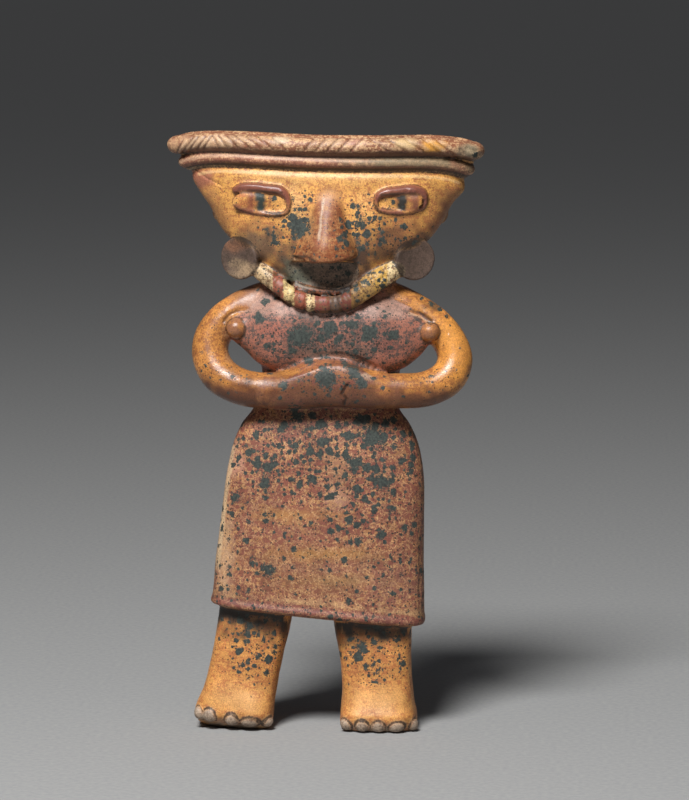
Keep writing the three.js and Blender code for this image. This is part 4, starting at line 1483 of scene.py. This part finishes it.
# %% Paint every vertex, and keep the values as attributes of the mesh
def paint(mesh):
    bm = bmesh.new()
    bm.from_mesh(mesh)
    bm.verts.ensure_lookup_table()
    bm.normal_update()
    painted = first_coats(bm.verts)
    cells = front_cells(bm.verts)
    paint_places(painted, cells)
    painted["blotch"] = blotches(cells, len(bm.verts))
    bm.free()
    del painted["form"]
    for name, values in painted.items():
        if name in ("slip", "under"):
            parts = [part for value in values for part in value]
            mesh.attributes.new(name, "FLOAT_COLOR", "POINT").data.foreach_set("color", parts)
        else:
            mesh.attributes.new(name, "FLOAT", "POINT").data.foreach_set("value", values)
    return list(painted)


painted_values = paint(clay)
print("painted", len(clay.vertices), "vertices with", ", ".join(painted_values))

# %% [markdown]
# ## Slipped, burnished earthenware
#
# Low-fired clay with a coat of coloured slip that was rubbed with a pebble. It gives a soft gloss on
# the rubbed parts and a matt, grainy body where the slip is gone. One material serves the whole figure:
# the painted values say how worn, spotted and shiny each place is, and noise breaks up every border.

# %% One small function adds a node with its settings and links
def add(tree, kind, sockets=None, **settings):
    node = tree.nodes.new("ShaderNode" + kind)
    for name, value in settings.items():
        setattr(node, name, value)
    for key, value in (sockets or {}).items():
        if isinstance(value, bpy.types.NodeSocket):
            tree.links.new(value, node.inputs[key])
        else:
            node.inputs[key].default_value = value
    return node


# %% Patterns: the size in millimetres, the detail and the roughness of each noise
PATTERNS = dict(
    stain=(7, 3, 0.5),
    mottle=(1.7, 6, 0.68),
    fleck=(0.6, 3, 0.6),
    ragged=(1.1, 6, 0.78),
    vein=(2.0, 5, 0.65),
    # Real grit is about 0.2 mm across. It is drawn coarser, or it would not show.
    grit=(0.35, 3, 0.6),
)

# Length and width of the pebble's streaks, which run level round the figure
STREAK = (5, 0.8)
STREAK_DETAIL = 4

# Fine veins lie where a noise passes its middle value, and this is how wide a band of it counts
VEIN_WIDTH = 0.022


def patterns(tree, place):
    found = {}
    for name, (size, detail, rough) in PATTERNS.items():
        sockets = {"Vector": place, "Scale": 1 / (size * MM), "Detail": detail, "Roughness": rough}
        found[name] = add(tree, "TexNoise", sockets).outputs["Fac"]
    long, thin = (1 / (size * MM) for size in STREAK)
    brushed = add(tree, "Mapping", {"Vector": place, "Scale": (long, long, thin)}).outputs[0]
    streak = add(tree, "TexNoise", {"Vector": brushed, "Scale": 1.0, "Detail": STREAK_DETAIL})
    found["streak"] = streak.outputs["Fac"]
    found["vein"] = add(tree, "Math", {0: found["vein"], 1: 0.5, 2: VEIN_WIDTH},
                        operation="COMPARE").outputs[0]
    return found


print(len(PATTERNS) + 1, "patterns, the finest", min(size for size, *_ in PATTERNS.values()), "mm")

# %% Dark spots: cell size in mm, share of a cell that the largest fills, and how sparse they are
SPECKS = (0.75, 0.42, 0.09)
FRECKLES = (1.5, 0.5, 0.3)
SPOTS = (2.6, 0.55, 0.22)

# The chance at which a blob is largest, and how ragged and how soft its rim is
FULL_SIZE = 0.8
RIM_RAGGED = 1.3
RIM_SOFT = 0.06


def blobs(tree, place, amount, rough, size, largest, sparse):
    """Separate ragged blobs: one in each cell, where the cell's own random number allows it."""
    cell = add(tree, "TexVoronoi", {"Vector": place, "Scale": 1 / (size * MM)})
    chance = add(tree, "SeparateColor", {0: cell.outputs["Color"]}).outputs[0]
    radius = add(tree, "Math", {0: amount, 1: chance}, operation="MULTIPLY").outputs[0]
    radius = add(tree, "MapRange", {"Value": radius, "From Min": sparse, "From Max": FULL_SIZE,
                                    "To Max": largest}).outputs[0]
    rim = add(tree, "Math", {0: rough, 1: RIM_RAGGED, 2: -RIM_RAGGED / 2},
              operation="MULTIPLY_ADD").outputs[0]
    rim = add(tree, "Math", {0: rim, 1: cell.outputs["Distance"]}, operation="ADD").outputs[0]
    inside = add(tree, "Math", {0: radius, 1: rim}, operation="SUBTRACT").outputs[0]
    return add(tree, "MapRange", {"Value": inside, "From Max": RIM_SOFT}).outputs[0]


# %% Manganese deposit: freckles and spots from the cells, and the blotches that were painted
BLOTCH_RAGGED = 4.0
BLOTCH_EDGE = (2.0, 2.08)


def deposits(tree, place, painted, pattern):
    spots, freckles = (blobs(tree, place, painted["spots"]["Fac"], pattern["ragged"], *kind)
                       for kind in (SPOTS, FRECKLES))
    spots = add(tree, "Math", {0: spots, 1: freckles}, operation="MAXIMUM").outputs[0]
    blot = add(tree, "Math", {0: pattern["ragged"], 1: BLOTCH_RAGGED, 2: painted["blotch"]["Fac"]},
               operation="MULTIPLY_ADD").outputs[0]
    blot = add(tree, "MapRange", {"Value": blot, "From Min": BLOTCH_EDGE[0],
                                  "From Max": BLOTCH_EDGE[1]}).outputs[0]
    return add(tree, "Math", {0: spots, 1: blot}, operation="MAXIMUM").outputs[0]


# %% Wear: how much each pattern counts, and the sums at which the slip starts to go and is gone
WEAR_PARTS = dict(mottle=3.0, fleck=2.4, streak=1.6, vein=0.3)
WEAR_EDGE = (3.8, 4.3)

# Fine pale crazing shows on dull slip, and is gone on slip of the second shine
CRAZE_SHINE = (0.3, 0.4)
CRAZE_MOST = 0.5

# The dark of creases and joints, painted shade and dirt, starts and ends at these sums of its painted value
# and the fleck, and never hides the slip
CREASE_SHADE_AND_SOIL_FLECK = 0.9
CREASE_SHADE_AND_SOIL_EDGE = (0.75, 1.35)
CREASE_SHADE_AND_SOIL_MOST = 0.88


def wear_of(tree, painted, pattern):
    wear = painted["worn"]["Fac"]
    for name, weight in WEAR_PARTS.items():
        wear = add(tree, "Math", {0: pattern[name], 1: weight, 2: wear},
                   operation="MULTIPLY_ADD").outputs[0]
    return add(tree, "MapRange", {"Value": wear, "From Min": WEAR_EDGE[0], "From Max": WEAR_EDGE[1]},
               interpolation_type="SMOOTHSTEP").outputs[0]


def craze_of(tree, painted, pattern):
    craze = add(tree, "MapRange", {"Value": painted["shine"]["Fac"], "From Min": CRAZE_SHINE[0],
                                   "From Max": CRAZE_SHINE[1], "To Min": CRAZE_MOST,
                                   "To Max": 0.0}).outputs[0]
    for name in ("vein", "fleck"):
        craze = add(tree, "Math", {0: craze, 1: pattern[name]}, operation="MULTIPLY").outputs[0]
    return craze


def crease_shade_and_soil_of(tree, painted, pattern):
    crease_shade_and_soil = add(tree, "Math", {0: pattern["fleck"], 1: CREASE_SHADE_AND_SOIL_FLECK, 2: painted["crease_shade_and_dirt"]["Fac"]},
               operation="MULTIPLY_ADD").outputs[0]
    return add(tree, "MapRange", {"Value": crease_shade_and_soil, "From Min": CREASE_SHADE_AND_SOIL_EDGE[0], "From Max": CREASE_SHADE_AND_SOIL_EDGE[1],
                                  "To Max": CREASE_SHADE_AND_SOIL_MOST}, interpolation_type="SMOOTHSTEP").outputs[0]


# %% Light and dark: how far the stains and the grit change the slip's brightness
NOISE_SPAN = (0.3, 0.7)
TONES = dict(stain=(0.8, 1.2), grit=(0.68, 1.32))


def tone_of(tree, pattern):
    tones = [add(tree, "MapRange", {"Value": pattern[name], "From Min": NOISE_SPAN[0],
                                    "From Max": NOISE_SPAN[1], "To Min": dark, "To Max": light}).outputs[0]
             for name, (dark, light) in TONES.items()]
    return add(tree, "Math", {0: tones[0], 1: tones[1]}, operation="MULTIPLY").outputs[0]


# %% The material: layers of colour from the slip upward, then the gloss and the fine relief
# The colour of the dark in creases and joints: painted shade in the creases and dirt in the joints
CREASE_SHADE_AND_SOIL = "#2c2119"
SPECK_BROWN = "#2e2722"
DEPOSIT = "#222725"
DEPOSIT_PALE = "#414842"
CRUST_SPAN = (0.35, 0.65)

# Roughness of dull and of shiny slip, and what the deposit and the wear add to it
MATT_TO_GLOSSY = (0.68, 0.27)
ROUGHER = dict(deposit=0.2, wear=0.08)

# Millimetres that each pattern stands up
RELIEF = dict(grit=0.05, mottle=0.12, deposit=0.02)
RELIEF_STRENGTH = 0.8
PAINTED = ("slip", "under", "worn", "spots", "shine", "crease_shade_and_dirt", "blotch")


def earthenware():
    material = bpy.data.materials.new("slipped_burnished_earthenware")
    material.use_nodes = True
    tree = material.node_tree
    place = add(tree, "TexCoord").outputs["Object"]
    painted = {name: add(tree, "Attribute", attribute_name=name).outputs for name in PAINTED}
    pattern = patterns(tree, place)
    pattern["wear"] = wear_of(tree, painted, pattern)
    pattern["deposit"] = deposits(tree, place, painted, pattern)
    specks = blobs(tree, place, painted["spots"]["Fac"], pattern["fleck"], *SPECKS)
    crust = add(tree, "MapRange", {"Value": pattern["fleck"], "From Min": CRUST_SPAN[0],
                                   "From Max": CRUST_SPAN[1]}).outputs[0]
    crust = add(tree, "Mix", {0: crust, 6: hex_colour(DEPOSIT), 7: hex_colour(DEPOSIT_PALE)},
                data_type="RGBA").outputs[2]

    colour = painted["slip"]["Color"]
    for kind, share, over in (("MIX", pattern["wear"], painted["under"]["Color"]),
                              ("MIX", craze_of(tree, painted, pattern), hex_colour(CREAM)),
                              ("MULTIPLY", 1.0, tone_of(tree, pattern)),
                              ("MIX", crease_shade_and_soil_of(tree, painted, pattern), hex_colour(CREASE_SHADE_AND_SOIL)),
                              ("MIX", specks, hex_colour(SPECK_BROWN)),
                              ("MIX", pattern["deposit"], crust)):
        colour = add(tree, "Mix", {0: share, 6: colour, 7: over}, data_type="RGBA",
                     blend_type=kind).outputs[2]

    gloss = add(tree, "MapRange", {"Value": painted["shine"]["Fac"], "To Min": MATT_TO_GLOSSY[0],
                                   "To Max": MATT_TO_GLOSSY[1]}).outputs[0]
    for name, more in ROUGHER.items():
        gloss = add(tree, "Math", {0: pattern[name], 1: more, 2: gloss},
                    operation="MULTIPLY_ADD").outputs[0]
    height = 0.0
    for name, raised in RELIEF.items():
        height = add(tree, "Math", {0: pattern[name], 1: raised, 2: height},
                     operation="MULTIPLY_ADD").outputs[0]
    bump = add(tree, "Bump", {"Strength": RELIEF_STRENGTH, "Distance": MM, "Height": height})
    shader = tree.nodes["Principled BSDF"]
    for name, value in {"Base Color": colour, "Roughness": gloss, "Normal": bump.outputs["Normal"]}.items():
        tree.links.new(value, shader.inputs[name])
    print(len(tree.nodes), "nodes in the clay's material")
    return material


# %% Put the figure in its place
def clay_corners():
    verts = [v.co for bms in FORMS.values() for bm in bms for v in bm.verts]
    return [Vector([pick(co[i] for co in verts) for i in range(3)]) for pick in (min, max)]


def into_frame():
    """The move that brings the clay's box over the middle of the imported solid's, with its soles level."""
    first, last = clay_corners()
    level = [(low[i] + high[i]) / 2 / MM - (first[i] + last[i]) / 2 for i in (0, 1)]
    return Vector((*level, low.z / MM - first.z))


shift = into_frame()
clay.transform(Matrix.Scale(MM, 4) @ Matrix.Translation(shift))
clay.shade_smooth()
clay.materials.append(earthenware())
piece = in_scene(bpy.data.objects.new("earthenware_figurine", clay))
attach(piece, "root")
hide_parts("figurine")
print("moved by", [round(part, 2) for part in shift], "mm")

# %% [markdown]
# ## The studio
#
# A grey paper floor that runs far back and falls into the dark, one soft lamp high on the left, and a
# weak one on the right that opens the shadows. A faint light from far away on the same side as the
# first lamp reaches the whole floor, so that its far part does not go black.

# %% Floor: matt grey paper. Its fibres are drawn far coarser than real ones, or they would not show
FLOOR_HALF = 40
PAPER_GRAIN = 1.6
PAPER_DARK = "#87878a"
PAPER_LIGHT = "#a0a09c"
PAPER_SETTINGS = {"Roughness": 0.95, "Specular IOR Level": 0.1}


def seamless_paper():
    """No gloss, so only the lamps' reach shows on it."""
    paper = bpy.data.materials.new("matt_seamless_paper")
    paper.use_nodes = True
    tree = paper.node_tree
    place = add(tree, "TexCoord").outputs["Object"]
    fibres = add(tree, "TexNoise", {"Vector": place, "Scale": 1 / (PAPER_GRAIN * MM), "Detail": 4})
    colour = add(tree, "Mix", {0: fibres.outputs["Fac"], 6: hex_colour(PAPER_DARK),
                               7: hex_colour(PAPER_LIGHT)}, data_type="RGBA").outputs[2]
    shader = tree.nodes["Principled BSDF"]
    tree.links.new(colour, shader.inputs["Base Color"])
    for name, value in PAPER_SETTINGS.items():
        shader.inputs[name].default_value = value
    return paper


def make_floor():
    bm = bmesh.new()
    bmesh.ops.create_grid(bm, x_segments=1, y_segments=1, size=FLOOR_HALF)
    mesh = bpy.data.meshes.new("paper_floor")
    bm.to_mesh(mesh)
    bm.free()
    mesh.materials.append(seamless_paper())
    return in_scene(bpy.data.objects.new("paper_floor", mesh))


floor = make_floor()
print("floor is", 2 * FLOOR_HALF, "m wide")

# %% Lamps: azimuth, elevation, distance and size in metres, and power in watts
LAMPS = dict(
    key_lamp=(-16, 51, 1.15, 0.4, 20.5),
    fill_lamp=(50, 30, 1.4, 0.9, 0.6),
)

# The far light: azimuth, elevation, strength and how wide it looks, in degrees
ROOM_LIGHT = (-16, 51, 0.37, 12)
SKY = "#b8bac2"
SKY_STRENGTH = 0.1


def lamp(name, azimuth, elevation, distance, size, power):
    outward = outward_from(azimuth, elevation)
    data = bpy.data.lights.new(name, "AREA")
    data.shape = "DISK"
    data.size = size
    data.energy = power
    light = in_scene(bpy.data.objects.new(name, data))
    light.location = TARGET + outward * distance
    light.rotation_euler = (-outward).to_track_quat("-Z", "Y").to_euler()


def far_light(name, azimuth, elevation, strength, angle):
    data = bpy.data.lights.new(name, "SUN")
    data.energy = strength
    data.angle = math.radians(angle)
    light = in_scene(bpy.data.objects.new(name, data))
    light.rotation_euler = outward_from(azimuth, elevation).to_track_quat("Z", "Y").to_euler()


def dim_room():
    world = bpy.data.worlds.new("dim_studio")
    world.use_nodes = True
    background = world.node_tree.nodes["Background"]
    background.inputs["Color"].default_value = hex_colour(SKY)
    background.inputs["Strength"].default_value = SKY_STRENGTH
    bpy.context.scene.world = world


for name, settings in LAMPS.items():
    lamp(name, *settings)
far_light("room_light", *ROOM_LIGHT)
dim_room()
bpy.context.scene.view_settings.view_transform = "Standard"
print(len(LAMPS) + 1, "lights")
